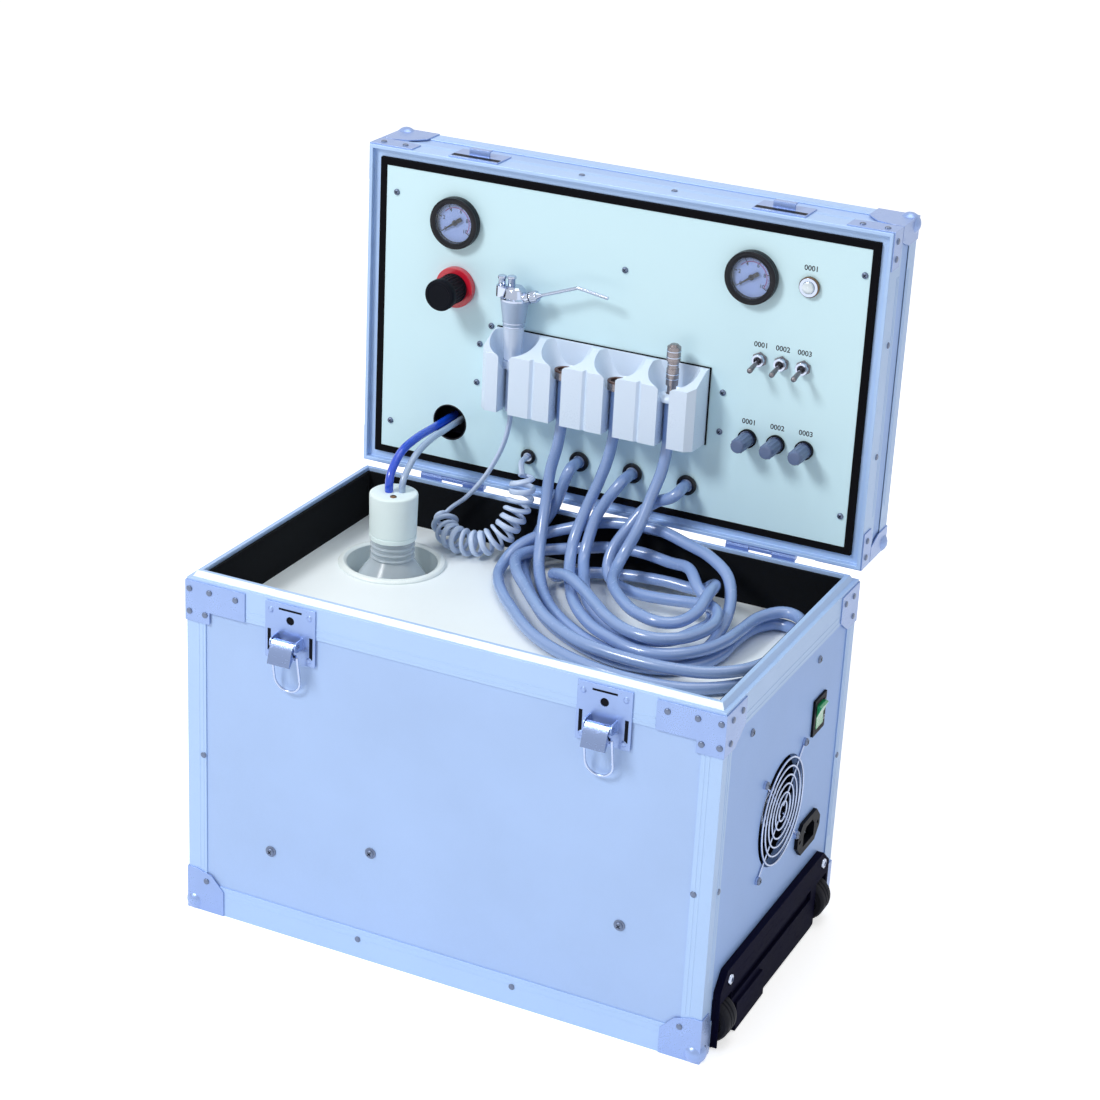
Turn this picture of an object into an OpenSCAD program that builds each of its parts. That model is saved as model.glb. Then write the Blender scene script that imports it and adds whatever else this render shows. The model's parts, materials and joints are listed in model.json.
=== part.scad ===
// Portable dental unit built into an aluminium flight case.
// The base holds an oil-free compressor, an air tank and a water bottle; the upright lid holds
// the control panel and the handpiece holder.
// Origin: middle of the base's underside. X to the right, Y to the back, Z up. Millimetres.

/* [Case] */
// Width of the case
case_w = 450; // [440:2:480]
// Depth of the case, which is also the height of the open lid
case_d = 275; // [270:1:300]
// Height of the base
base_h = 293; // [288:1:320]
// Depth of the lid
lid_t = 60; // [57:1:75]
// Thickness of the composite wall panels
wall_t = 7; // [5:0.5:7]
// How far the panels lie inside the aluminium skin
skin_t = 1; // [0.8:0.1:1.4]
// Height of the aluminium bands along the top and bottom edges
band_h = 26; // [22:1:30]
// Width of the upright corner profiles
post_w = 17; // [14:1:20]
// Depth from the rim down to the deck plate
deck_depth = 38; // [36:1:44]

/* [Hinge and latches] */
// Distance of each hinge's middle from the case's side
hinge_in = 85; // [70:5:115]
// Length of each case hinge
hinge_len = 60; // [40:2:80]
// Radius of the hinge and latch pins
pin_r = 1.5; // [1.2:0.1:1.8]
// Running clearance of every pin and shaft
fit = 0.05; // [0.03:0.01:0.08]
// Distance of each latch's middle from the case's side
latch_in = 93.5; // [78:0.5:115]
// Width of each latch plate
latch_w = 44; // [38:1:50]

/* [Control panel] */
// Width of the black gasket round the white control panel
gasket_w = 5.8; // [4:0.2:8]
// Outer diameter of each gauge bezel
gauge_d = 42.5; // [36:0.5:46]
// Radius of the regulator knob
reg_r = 13; // [10:0.5:15]
// Length of the regulator knob
reg_len = 26; // [20:1:27]
// Distance between neighbouring valve knobs
valve_pitch = 24; // [18:0.5:27]
// Distance between neighbouring toggle switches
toggle_pitch = 18.2; // [14:0.2:22]

/* [Instrument holder] */
// Width of one holder segment
seg_w = 47; // [42:1:50]
// How far the holder stands out from the panel
holder_out = 32; // [30:0.5:34]
// Height of the holder
holder_h = 64; // [58:1:70]
// Radius of the channel down each segment
channel_r = 6; // [5.6:0.1:6.5]
// Width of the slot in front of each channel
slot_w = 10; // [9.4:0.2:11]

/* [Services] */
// Radius of the bottle well's wall
well_r = 39.5; // [38:0.5:42]
// Radius of the water bottle
bottle_r = 35; // [30:0.5:35]
// Radius of the bottle cap
cap_r = 20; // [18:0.5:23]
// Side of the cooling fan
fan_s = 92; // [80:1:92]
// Radius of each trolley wheel
wheel_r = 18; // [15:0.5:18]
// Width of each trolley wheel
wheel_w = 20; // [16:1:22]
// Radius of the handle's pull rods
rod_r = 6; // [4:0.5:6.5]
// Radius of the air tank
tank_r = 33; // [28:1:34]

/* [Hoses] */
// Outer diameter of a handpiece hose
hose_d = 9.6; // [9:0.5:10]
// Outer diameter of the curly cord's tube
curl_d = 4.4; // [3.6:0.2:4.6]
// Diameter of the curly cord's turns, to the middle of its tube
curl_turn_d = 18.6; // [16:0.2:19]
// Number of turns of the curly cord
curl_turns = 16; // [14:1:17]

/* [Hidden] */
$fn = 48;

// Colours
alloy = [0.70, 0.74, 0.84];
panel_blue = [0.72, 0.76, 0.92];
steel = [0.78, 0.80, 0.86];
dark_steel = [0.30, 0.31, 0.36];
white_sheet = [0.88, 0.95, 0.98];
black = [0.03, 0.03, 0.06];
navy = [0.06, 0.06, 0.13];
hose_grey = [0.58, 0.63, 0.82];
tube_blue = [0.10, 0.32, 0.80];
tube_clear = [0.80, 0.86, 0.95];

// The case walls
half_w = case_w / 2;
half_d = case_d / 2;
hinge_x = half_w - hinge_in;
latch_x = half_w - latch_in;
wall_in = skin_t + wall_t;         // inset of the walls' inner faces
frame_t = 1.5;                     // thickness of the frame's flanges
rim_up = 4.5;                      // height of the tongue above the rim
tongue_in = 9.3;                   // inset of the tongue's inner face
lining_t = 2.7;                    // thickness of the felt lining
lining_in = tongue_in + lining_t;  // inset of the lining's inner face
deck_t = 2;
deck_z = base_h - deck_depth;      // top of the deck plate
ledge_w = 4;                       // how far the deck's ledge stands in from the lining
ledge_h = 15;
big = 2 * case_w;                  // longer than anything that it cuts
reach = 40;                        // longest inset of any frame profile

// The open lid: v is the depth behind its opening, h the height above its foot
hinge_out = 3;                     // hinge axis behind the back wall
hinge_up = 5;                      // hinge axis above the rim
hinge_y = half_d + hinge_out;
hinge_z = base_h + hinge_up;
lid_y = hinge_y - hinge_up;        // the lid's opening plane
lid_z = hinge_z + hinge_out;       // the lid's foot
lid_h = case_d;
lip_v = 0.4;                       // gap between lid and rim when shut
panel_v = 3;                       // front of the control panel
panel_t = 2;
leg_in = 9.6;                      // inset of the lid frame's inner face
gasket_in = leg_in + gasket_w;     // inset of the gasket's inner edge

// Moves children from lid coordinates (x, v, h) to the frame
module on_lid() translate([0, lid_y, lid_z]) children();

// Straight round bars along X and Y, from a to b
module bar_x(a, b, y, z, r) translate([a, y, z]) rotate([0, 90, 0]) cylinder(r = r, h = b - a);
module bar_y(a, b, x, z, r) translate([x, a, z]) rotate([-90, 0, 0]) cylinder(r = r, h = b - a);

// A box between two corners
module block(a, b) translate(a) cube(b - a);

// A 2D outline drawn in (y, z) and pushed out along X from a to b
module slab_x(a, b) translate([a, 0, 0]) rotate([90, 0, 90]) linear_extrude(b - a) children();

// A 2D profile of (inset, height) carried round a w by d rectangle, mitred at the corners
module mitred_ring(w, d, low, high) {
    for (side = [0 : 3]) {
        long = side % 2 == 0 ? w : d;
        far = side % 2 == 0 ? d : w;
        rotate(90 * side) intersection() {
            translate([-long / 2, -far / 2, 0])
                rotate([90, 0, 90]) linear_extrude(long) children();
            translate([0, 0, low]) linear_extrude(high - low) polygon([
                [-long / 2, -far / 2], [long / 2, -far / 2],
                [long / 2 - reach, -far / 2 + reach], [-long / 2 + reach, -far / 2 + reach]]);
        }
    }
}

// A domed rivet head, sitting on z = 0
rivet_r = 2.5;
rivet_h = 1.2;
module rivet() cylinder(r1 = rivet_r, r2 = 1.4, h = rivet_h, $fn = 24);

// A pan-head screw with its shank below z = 0
screw_r = 3.2;
screw_h = 1.8;
shank_r = 1.6;
shank_l = 4;
module screw(r = screw_r) {
    cylinder(r1 = r, r2 = r - 0.9, h = screw_h, $fn = 24);
    translate([0, 0, -shank_l]) cylinder(r = shank_r, h = shank_l + 0.2, $fn = 24);
}
module shank_hole() translate([0, 0, -shank_l - fit])
    cylinder(r = shank_r + fit, h = shank_l + 2, $fn = 24);

// Turn a piece built on z = 0 so that it sits on the named face of the case
module on_front(x, z, y = -half_d) translate([x, y, z]) rotate([90, 0, 0]) children();
module on_back(x, z, y = half_d) translate([x, y, z]) rotate([-90, 0, 0]) children();
module on_right(y, z, x = half_w) translate([x, y, z]) rotate([0, 90, 0]) children();
module on_left(y, z, x = -half_w) translate([x, y, z]) rotate([0, -90, 0]) children();

// ---- Base: walls, frame and corners ----

// Panel screws with washers on the front, and plain ones on the right side
front_screws = [[-148.7, 72.3], [-58.8, 97], [153.6, 97.8]];
washer_r = 4.6;
washer_t = 0.8;
right_screws = [[60.5, base_h - 39], [-79, base_h - 41]];
panel_y = -half_d + skin_t;        // the front panel's face
panel_x = half_w - skin_t;         // the right panel's face

guard_ear_t = 2;                   // thickness of the fan guard's ears
// The fan opening, the switch and the power inlet on the right side
fan_z = 150;
fan_r = fan_s / 2 - 1;             // radius of the fan's opening
ear_c = 41.25;                     // fan screw, from the fan's middle
ear_k = fan_s / 92;
switch_yz = [68.5, deck_z - 51];
switch_cut = [21, 27];
inlet_yz = [66.6, 99.5];
inlet_cut = [27, 22];

// The wheel pockets in the bottom right edge
axle_r = 3;
axle_x = half_w - 6;
axle_z = wheel_r + 2.5;
wheel_y = 102;
pocket_h = 14;                     // half the width of a pocket, along Y
pocket_x = axle_x - wheel_r - 3;
pocket_z = axle_z + wheel_r + 5.5;
module wheel_pockets() for (s = [-1, 1])
    translate([pocket_x, s * wheel_y - pocket_h, -1]) cube([60, 2 * pocket_h, pocket_z + 1]);

module front_panel() color(panel_blue) difference() {
    block([-half_w + wall_in, panel_y, frame_t], [half_w - wall_in, panel_y + wall_t, base_h - frame_t]);
    for (p = front_screws) on_front(p.x, p.y, panel_y) shank_hole();
}

module right_panel() color(panel_blue) difference() {
    block([panel_x - wall_t, panel_y, frame_t], [panel_x, -panel_y, base_h - frame_t]);
    on_right(0, fan_z, panel_x) translate([0, 0, -wall_t - 1]) cylinder(r = fan_r, h = wall_t + 2, $fn = 96);
    for (sy = [-1, 1], sz = [-1, 1])
        on_right(sy * ear_c * ear_k, fan_z + sz * ear_c * ear_k, panel_x + wall_t) shank_hole_long();
    translate([panel_x - wall_t / 2, switch_yz.x, switch_yz.y])
        cube([wall_t + 2, switch_cut.x, switch_cut.y], center = true);
    translate([panel_x - wall_t / 2, inlet_yz.x, inlet_yz.y])
        cube([wall_t + 2, inlet_cut.x, inlet_cut.y], center = true);
    for (p = right_screws) on_right(p.x, p.y, panel_x) shank_hole();
    wheel_pockets();
}
module shank_hole_long() translate([0, 0, -3 * wall_t]) cylinder(r = shank_r + fit, h = 4 * wall_t, $fn = 24);

foot_in = post_w + 0.3;            // the underside pad starts inside the bottom frame
sleeve_r = rod_r + 2;
rod_y = 100;
rod_z = 20;
module case_walls() color(panel_blue) difference() {
    union() {
        block([-panel_x, panel_y, frame_t], [-panel_x + wall_t, -panel_y, base_h - frame_t]);
        block([-panel_x + wall_t, -panel_y - wall_t, frame_t], [panel_x - wall_t, -panel_y, base_h - frame_t]);
        block([-panel_x + wall_t, panel_y + wall_t, frame_t],
            [panel_x - wall_t, -panel_y - wall_t, wall_in]);
        block([-half_w + foot_in, -half_d + foot_in, 0], [half_w - foot_in, half_d - foot_in, frame_t + 0.5]);
    }
    for (s = [-1, 1]) bar_x(-half_w - 1, -half_w + wall_in + 1, s * rod_y, rod_z, sleeve_r + fit);
    wheel_pockets();
}

// Bottom ring, corner posts and the tongued rim
module foot_profile() polygon([[0, 0], [post_w, 0], [post_w, frame_t], [skin_t, frame_t],
    [skin_t, band_h], [0, band_h]]);
module rim_profile() polygon([[0, -band_h], [0, 0], [3.5, 0], [6, rim_up], [tongue_in, rim_up],
    [tongue_in, -12], [wall_in, -12], [wall_in, -frame_t], [skin_t, -frame_t], [skin_t, -band_h]]);
module base_frame() color(alloy) {
    difference() {
        mitred_ring(case_w, case_d, 0, band_h) foot_profile();
        wheel_pockets();
        for (s = [-1, 1]) bar_x(-half_w - 1, -half_w + wall_in + 1, s * rod_y, rod_z, rod_r + 0.5);
    }
    for (sx = [-1, 1], sy = [-1, 1]) scale([sx, sy, 1])
        translate([-half_w, -half_d, band_h]) difference() {
            cube([post_w, post_w, base_h - 2 * band_h]);
            translate([skin_t, skin_t, -1]) cube([post_w, post_w, base_h]);
        }
    translate([0, 0, base_h]) mitred_ring(case_w, case_d, -band_h, rim_up) rim_profile();
}

// Riveted plates at the rim and ball corners at the foot
plate_t = 1;
ball_r = 9;
ball_w = 33;
ball_h = 38;
ball_side = 18;
ball_out = 5;                      // middle of the ball, inside each face
plate_front = [[0, -2], [53, -2], [53, -26], [21, -26], [21, -36], [0, -36]];
plate_side = [[0, -2], [38, -2], [38, -24], [20, -36], [0, -36]];
module rim_plate() {
    translate([-half_w, -half_d, base_h]) rotate([90, 0, 0]) linear_extrude(plate_t) polygon(plate_front);
    translate([-half_w - plate_t, -half_d, base_h]) rotate([90, 0, 90]) linear_extrude(plate_t)
        polygon(concat([[-plate_t, -36], [-plate_t, -2]], [for (p = plate_side) p]));
}
module ball_corner() translate([-half_w, -half_d, 0]) {
    rotate([90, 0, 0]) linear_extrude(plate_t)
        polygon([[0, 0], [ball_w, 0], [ball_w, 22], [22, ball_h - 4], [8, ball_h], [0, ball_h]]);
    translate([-plate_t, 0, 0]) rotate([90, 0, 90]) linear_extrude(plate_t)
        polygon([[-plate_t, 0], [ball_side, 0], [ball_side, 22], [12, ball_h], [-plate_t, ball_h]]);
    difference() {
        translate([ball_out, ball_out, ball_out + 1.5]) sphere(r = ball_r);
        cube(4 * ball_r);
        translate([-2 * ball_r, -2 * ball_r, -4 * ball_r]) cube(4 * ball_r);
    }
}
module four_corners() for (mx = [0, 1], my = [0, 1])
    mirror([mx, 0, 0]) mirror([0, my, 0]) children();
module base_corners() color(steel) four_corners() {
    rim_plate();
    ball_corner();
}

// Every rivet and screw head on the outside of the base
plate_rivets = [[3, -9], [21, -9], [44.5, -9.5], [3, -28], [17, -28.5]];
side_rivets = [[12, -10], [30, -10], [10, -28]];
post_rivet_z = 142;
foot_rivet_x = 68;
ball_screw = [29, 32.5];
module base_fasteners() color(dark_steel) {
    for (sx = [-1, 1]) {
        for (p = plate_rivets) {
            on_front(sx * (half_w - p.x), base_h + p.y, -half_d - plate_t) rivet();
            on_back(sx * (half_w - p.x), base_h + p.y, half_d + plate_t) rivet();
        }
        on_front(sx * (half_w - post_w + 2.5), post_rivet_z) rivet();
        on_back(sx * (half_w - post_w + 2.5), post_rivet_z) rivet();
        on_front(sx * foot_rivet_x, post_w) rivet();
        on_back(sx * foot_rivet_x, post_w) rivet();
        on_front(sx * (half_w - 17), 28, -half_d - plate_t) rivet();
        on_back(sx * (half_w - 17), 28, half_d + plate_t) rivet();
    }
    for (sy = [-1, 1]) {
        for (p = side_rivets) {
            on_right(sy * (half_d - p.x), base_h + p.y, half_w + plate_t) rivet();
            on_left(sy * (half_d - p.x), base_h + p.y, -half_w - plate_t) rivet();
        }
        on_right(sy * (half_d - 12.5), post_rivet_z) rivet();
        on_left(sy * (half_d - 12.5), post_rivet_z) rivet();
    }
    for (p = front_screws) on_front(p.x, p.y, panel_y) {
        translate([0, 0, washer_t]) screw();
        difference() {
            cylinder(r = washer_r, h = washer_t);
            translate([0, 0, -1]) cylinder(r = shank_r, h = 3);
        }
    }
    for (p = right_screws) on_right(p.x, p.y, panel_x) screw();
    for (sy = [-1, 1], sz = [-1, 1])
        on_right(sy * ear_c * ear_k, fan_z + sz * ear_c * ear_k, panel_x + guard_ear_t) screw();
}

// ---- Base: deck, services and running gear ----

well_xy = [-145.4, 45.7];
well_z = 101;
well_t = 2;
flange_w = 5;
bead_z = 182;                      // soft bead that steadies the bottle
bead_gap = 0.3;
module deck_plate() color(white_sheet) difference() {
    block([-half_w + lining_in, -half_d + lining_in, deck_z - deck_t],
        [half_w - lining_in, half_d - lining_in, deck_z]);
    translate([well_xy.x, well_xy.y, 0]) cylinder(r = well_r + 0.5, h = big, $fn = 96);
}

ledge_z = deck_z - deck_t - ledge_h;
module deck_lining() color(black) mitred_ring(case_w, case_d, ledge_z, base_h + 1.5)
    polygon([[wall_in, ledge_z], [lining_in + ledge_w, ledge_z],
        [lining_in + ledge_w, deck_z - deck_t], [lining_in, deck_z - deck_t],
        [lining_in, base_h + 1.5], [tongue_in, base_h + 1.5], [tongue_in, base_h - 12],
        [wall_in, base_h - 12]]);

module well_cup() color([0.86, 0.90, 0.90]) translate([well_xy.x, well_xy.y, 0])
    rotate_extrude($fn = 96) polygon([
        [0, well_z], [well_r, well_z], [well_r, deck_z], [well_r + flange_w, deck_z],
        [well_r + flange_w, deck_z + 1.4], [well_r + flange_w - 1.4, deck_z + 2.8],
        [well_r + 0.5, deck_z + 3.2], [well_r - well_t, deck_z + 1.6],
        [well_r - well_t, bead_z + 8], [bottle_r + bead_gap, bead_z + 4],
        [bottle_r + bead_gap, bead_z], [well_r - well_t, bead_z - 4],
        [well_r - well_t, well_z + well_t], [0, well_z + well_t]]);

// Rocker switch: a bezel with its housing, and the rocker on a pin along Y
rocker_tilt = 10;
rocker_half = [7.7, 10.4];
rocker_pin_r = 1;
rocker_x = panel_x - 1;
bezel_yz = [25.5, 31];
bezel_t = 2;
module switch_bezel() color(black) {
    difference() {
        union() {
            translate([panel_x + bezel_t / 2, switch_yz.x, switch_yz.y])
                cube([bezel_t, bezel_yz.x, bezel_yz.y], center = true);
            translate([panel_x - 10, switch_yz.x, switch_yz.y])
                cube([20, switch_cut.x, switch_cut.y], center = true);
        }
        translate([panel_x + 6, switch_yz.x, switch_yz.y])
            cube([28, 2 * rocker_half.x + 0.6, 2 * rocker_half.y + 1.6], center = true);
    }
    bar_y(switch_yz.x - rocker_half.x - 1, switch_yz.x + rocker_half.x + 1, rocker_x, switch_yz.y,
        rocker_pin_r);
}
module rocker() color([0.15, 0.62, 0.42]) translate([rocker_x, switch_yz.x, switch_yz.y])
    rotate([0, rocker_tilt, 0]) difference() {
        translate([0, rocker_half.x, 0]) rotate([90, 0, 0]) linear_extrude(2 * rocker_half.x)
            polygon([[-4, -8], [-4, 8], [3, rocker_half.y], [5.2, rocker_half.y - 0.6], [3.2, 0],
                [5.2, -rocker_half.y + 0.6], [3, -rocker_half.y]]);
        bar_y(-big, big, 0, 0, rocker_pin_r + fit);
    }

// Appliance inlet with two screw ears and three blades
inlet_t = 3;
inlet_half = [25, 14];
module power_inlet() color(black) translate([panel_x, inlet_yz.x, inlet_yz.y]) {
    difference() {
        union() {
            slab_x(0, inlet_t) polygon([[-inlet_half.x, -4], [-inlet_half.x, 4], [-15.5, inlet_half.y],
                [15.5, inlet_half.y], [inlet_half.x, 4], [inlet_half.x, -4], [15.5, -inlet_half.y],
                [-15.5, -inlet_half.y]]);
            slab_x(-18, 0.5) square(inlet_cut, center = true);
        }
        slab_x(-14, inlet_t + 1) polygon([[-12, -8], [-12, 3], [-7, 8], [7, 8], [12, 3], [12, -8]]);
        for (s = [-1, 1]) bar_x(-1, inlet_t + 1, s * 20, 0, 1.7);
    }
    for (p = [[-6, -2.5], [6, -2.5], [0, 2.5]])
        translate([-14.5, p.x - 1, p.y - 2]) cube([12, 2, 4]);
}

// Cooling fan behind its opening: frame with a motor boss, rotor on a shaft, wire guard outside
fan_d = 25;
fan_x = panel_x - wall_t - fan_d;  // back of the fan
hub_r = 18;
fan_bore = fan_s / 2 - 2;
module fan_frame() color(black) {
    difference() {
        block([fan_x, -fan_s / 2, fan_z - fan_s / 2], [fan_x + fan_d, fan_s / 2, fan_z + fan_s / 2]);
        bar_x(fan_x - 1, fan_x + fan_d + 1, 0, fan_z, fan_bore);
        for (sy = [-1, 1], sz = [-1, 1])
            bar_x(fan_x - 1, fan_x + fan_d + 1, sy * ear_c * ear_k, fan_z + sz * ear_c * ear_k, 2.2);
    }
    bar_x(fan_x, fan_x + 4, 0, fan_z, hub_r);
    for (a = [45 : 90 : 315]) translate([fan_x, 0, fan_z]) rotate([a, 0, 0])
        translate([0, -2, hub_r - 2]) cube([3, 4, fan_bore - hub_r + 3]);
    bar_x(fan_x + 3, fan_x + 20, 0, fan_z, pin_r);
}
blades = 7;
module fan_rotor() color([0.08, 0.08, 0.10]) translate([fan_x + 4.5, 0, fan_z]) difference() {
    union() {
        bar_x(0, 18, 0, 0, hub_r - 0.5);
        for (i = [0 : blades - 1]) rotate([i * 360 / blades, 0, 0])
            translate([9, 0, hub_r - 2]) rotate([0, 0, 38])
            translate([-9.5, -0.9, 0]) cube([19, 1.8, fan_bore - hub_r - 0.5]);
    }
    bar_x(-1, 16, 0, 0, pin_r + fit);
}
guard_wire = 0.8;
guard_rings = [8, 15, 22, 29, 36, 43];
module fan_guard() color(steel) translate([panel_x, 0, fan_z]) {
    for (r = guard_rings) translate([guard_ear_t, 0, 0]) rotate([0, 90, 0])
        rotate_extrude($fn = 72) translate([r * ear_k, 0]) circle(r = guard_wire, $fn = 16);
    for (a = [45 : 90 : 315]) rotate([a, 0, 0])
        translate([guard_ear_t - 1.1, 0, 4]) cylinder(r = guard_wire, h = 51.9 * ear_k, $fn = 16);
    for (sy = [-1, 1], sz = [-1, 1]) difference() {
        bar_x(0, guard_ear_t, sy * ear_c * ear_k, sz * ear_c * ear_k, 3.4);
        bar_x(-1, guard_ear_t + 1, sy * ear_c * ear_k, sz * ear_c * ear_k, shank_r + 0.1);
    }
}

// Kick plate with its wheel housings and axles on the bottom right edge
kick_y = [-115, 118];
kick_h = 64;
kick_t = 5;
kick_x = half_w;
cheek_t = 3;
cheek_gap = 0.7;
kick_screws = [[-96, 53], [104, 53]];
module kick_outline() polygon([[kick_y[0], 2], [kick_y[0], 50], [kick_y[0] + 12, kick_h],
    [kick_y[1] - 16, kick_h], [kick_y[1], 50], [kick_y[1], 6], [84, 2], [-26, 2], [-30, 0.8],
    [-84, 0.8], [-86, 2]]);
module kick_plate() color(navy) {
    difference() {
        union() {
            slab_x(kick_x, kick_x + kick_t) kick_outline();
            intersection() {
                slab_x(panel_x, kick_x + 1) kick_outline();
                block([0, -big, band_h], [big, big, big]);
            }
            slab_x(kick_x + kick_t - 1, kick_x + kick_t + 2.5) polygon([[-84, 0.8], [-84, 26],
                [-30, 26], [-26, 20], [-26, 2]]);
        }
        translate([kick_x + 2, -90, 32]) cube([kick_t + 2, 168, 9]);
        for (s = [-1, 1]) translate([pocket_x, s * wheel_y - pocket_h + cheek_t - 0.4, -1])
            cube([big, 2 * (pocket_h - cheek_t + 0.4), axle_z + wheel_r + 2.5]);
        for (p = kick_screws) on_right(p.x, p.y, kick_x + kick_t) {
            translate([0, 0, -1.5]) cylinder(r = 5, h = 4);
        }
    }
    for (s = [-1, 1]) {
        for (t = [-1, 1]) translate([pocket_x + 0.3,
            s * wheel_y + t * (pocket_h - 0.3) - (t > 0 ? cheek_t - 0.3 : 0), 2])
            cube([kick_x + 1 - pocket_x - 0.3, cheek_t - 0.3, pocket_z - 2.3]);
        translate([pocket_x + 0.3, s * wheel_y - pocket_h + 0.3, pocket_z - 2.8])
            cube([kick_x + 1 - pocket_x - 0.3, 2 * pocket_h - 0.6, 2.5]);
        bar_y(s * wheel_y - pocket_h + 1, s * wheel_y + pocket_h - 1, axle_x, axle_z, axle_r);
    }
    for (p = kick_screws) on_right(p.x, p.y, kick_x + kick_t - 1.5) cylinder(r1 = 4.6, r2 = 3.6, h = 2.5);
}
module wheel(s) color(black) difference() {
    union() {
        bar_y(s * wheel_y - wheel_w / 2, s * wheel_y + wheel_w / 2, axle_x, axle_z, wheel_r - 1.5);
        bar_y(s * wheel_y - wheel_w / 2 + 2, s * wheel_y + wheel_w / 2 - 2, axle_x, axle_z, wheel_r);
    }
    bar_y(-big, big, axle_x, axle_z, axle_r + fit);
}
module front_wheel() wheel(-1);
module rear_wheel() wheel(1);

// ---- Latches ----

latch_top = base_h - 2;
latch_low = latch_top - 47;
latch_t = 1.2;
lever_y = -half_d - 8.5;
lever_z = latch_low + 18;
ear_x = 10.2;                      // inner face of the latch ears
ear_w = 1.3;
lever_w = 19.4;
loop_r = 1;
loop_half = 11.25;                 // half the loop's width, to the middle of its wire
loop_y = lever_y - 1;
loop_z = lever_z - 9;
loop_len = 34;
loop_lean = 11;
latch_y = -half_d - latch_t;
module latch_plate() {
    difference() {
        block([-latch_w / 2, latch_y, latch_low], [latch_w / 2, -half_d, latch_top]);
        on_front(0, latch_top - 13, latch_y - 1) translate([0, 0, -4]) cylinder(r = 3.4, h = 6);
    }
    for (s = [-1, 1]) difference() {
        union() {
            translate([s > 0 ? ear_x : -ear_x - ear_w, 0, 0]) {
                bar_x(0, ear_w, lever_y, lever_z, 4.4);
                block([0, lever_y, lever_z - 4.4], [ear_w, latch_y + 0.2, lever_z + 4.4]);
            }
        }
        bar_x(-big, big, lever_y, lever_z, pin_r + fit);
    }
    for (p = [[-17, 5], [17, 5], [-17, 40], [17, 40]]) on_front(p.x, latch_low + p.y, latch_y) rivet();
}
module latch_lever() {
    bar_x(-ear_x - ear_w - 0.6, ear_x + ear_w + 0.6, lever_y, lever_z, pin_r);
    difference() {
        translate([-lever_w / 2, 0, 0]) union() {
            bar_x(0, lever_w, lever_y, lever_z, 3);
            bar_x(0, lever_w, loop_y, loop_z, 2.3);
            slab_x(0, lever_w) polygon([[lever_y - 2.9, lever_z + 0.5], [loop_y - 2.2, loop_z + 0.5],
                [lever_y - 9, loop_z - 6], [lever_y - 10.4, loop_z - 5.4],
                [lever_y - 6.5, lever_z - 2], [lever_y - 2.8, lever_z + 2.6],
                [lever_y, lever_z + 2.9], [lever_y, lever_z + 1.6]]);
        }
        bar_x(-big, big, loop_y, loop_z, loop_r + fit);
    }
}
module latch_loop() translate([0, loop_y, loop_z]) rotate([loop_lean, 0, 0]) {
    rotate([0, 90, 0]) translate([0, 0, -loop_half]) cylinder(r = loop_r, h = 2 * loop_half);
    leg = loop_len - loop_half;
    for (s = [-1, 1]) {
        translate([s * loop_half, 0, -leg]) cylinder(r = loop_r, h = leg);
        translate([s * loop_half, 0, 0]) sphere(r = loop_r);
    }
    translate([0, 0, -leg]) rotate([-90, 0, 0]) rotate_extrude(angle = 180)
        translate([loop_half, 0]) circle(r = loop_r);
}
module latch_plates() color(steel) for (s = [-1, 1]) translate([s * latch_x, 0, 0]) latch_plate();
module left_latch_lever() color(steel) translate([-latch_x, 0, 0]) latch_lever();
module right_latch_lever() color(steel) translate([latch_x, 0, 0]) latch_lever();
module left_latch_loop() color(steel) translate([-latch_x, 0, 0]) latch_loop();
module right_latch_loop() color(steel) translate([latch_x, 0, 0]) latch_loop();

// ---- Hinges ----

knuckle_r = hinge_out - 0.3;
leaf_t = 1.2;
knuckle = hinge_len / 6;           // half the lid's knuckle
knuckle_gap = 0.3;
module base_hinges() color(steel) for (s = [-1, 1]) translate([s * hinge_x, 0, 0]) {
    block([-hinge_len / 2, half_d, base_h - 28], [hinge_len / 2, half_d + leaf_t, base_h + 1]);
    for (t = [-1, 1]) translate([t * (hinge_len / 2 + knuckle) / 2, 0, 0])
        translate([-(hinge_len / 2 - knuckle) / 2, 0, 0]) {
            w = hinge_len / 2 - knuckle;
            bar_x(0, w, hinge_y, hinge_z, knuckle_r);
            block([0, half_d, base_h], [w, half_d + leaf_t, hinge_z]);
        }
    bar_x(-hinge_len / 2, hinge_len / 2, hinge_y, hinge_z, pin_r);
}
module lid_hinges() color(steel) for (s = [-1, 1]) translate([s * hinge_x, 0, 0]) {
    block([-hinge_len / 2, hinge_y + hinge_out, lid_z - leaf_t],
        [hinge_len / 2, lid_y + lid_t / 2 + 5, lid_z]);
    w = knuckle - knuckle_gap;
    difference() {
        union() {
            bar_x(-w, w, hinge_y, hinge_z, knuckle_r);
            block([-w, hinge_y, lid_z - leaf_t], [w, hinge_y + hinge_out + 0.2, lid_z]);
        }
        bar_x(-w - 1, w + 1, hinge_y, hinge_z, pin_r + fit);
    }
}

// ---- Inside the base ----

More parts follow.
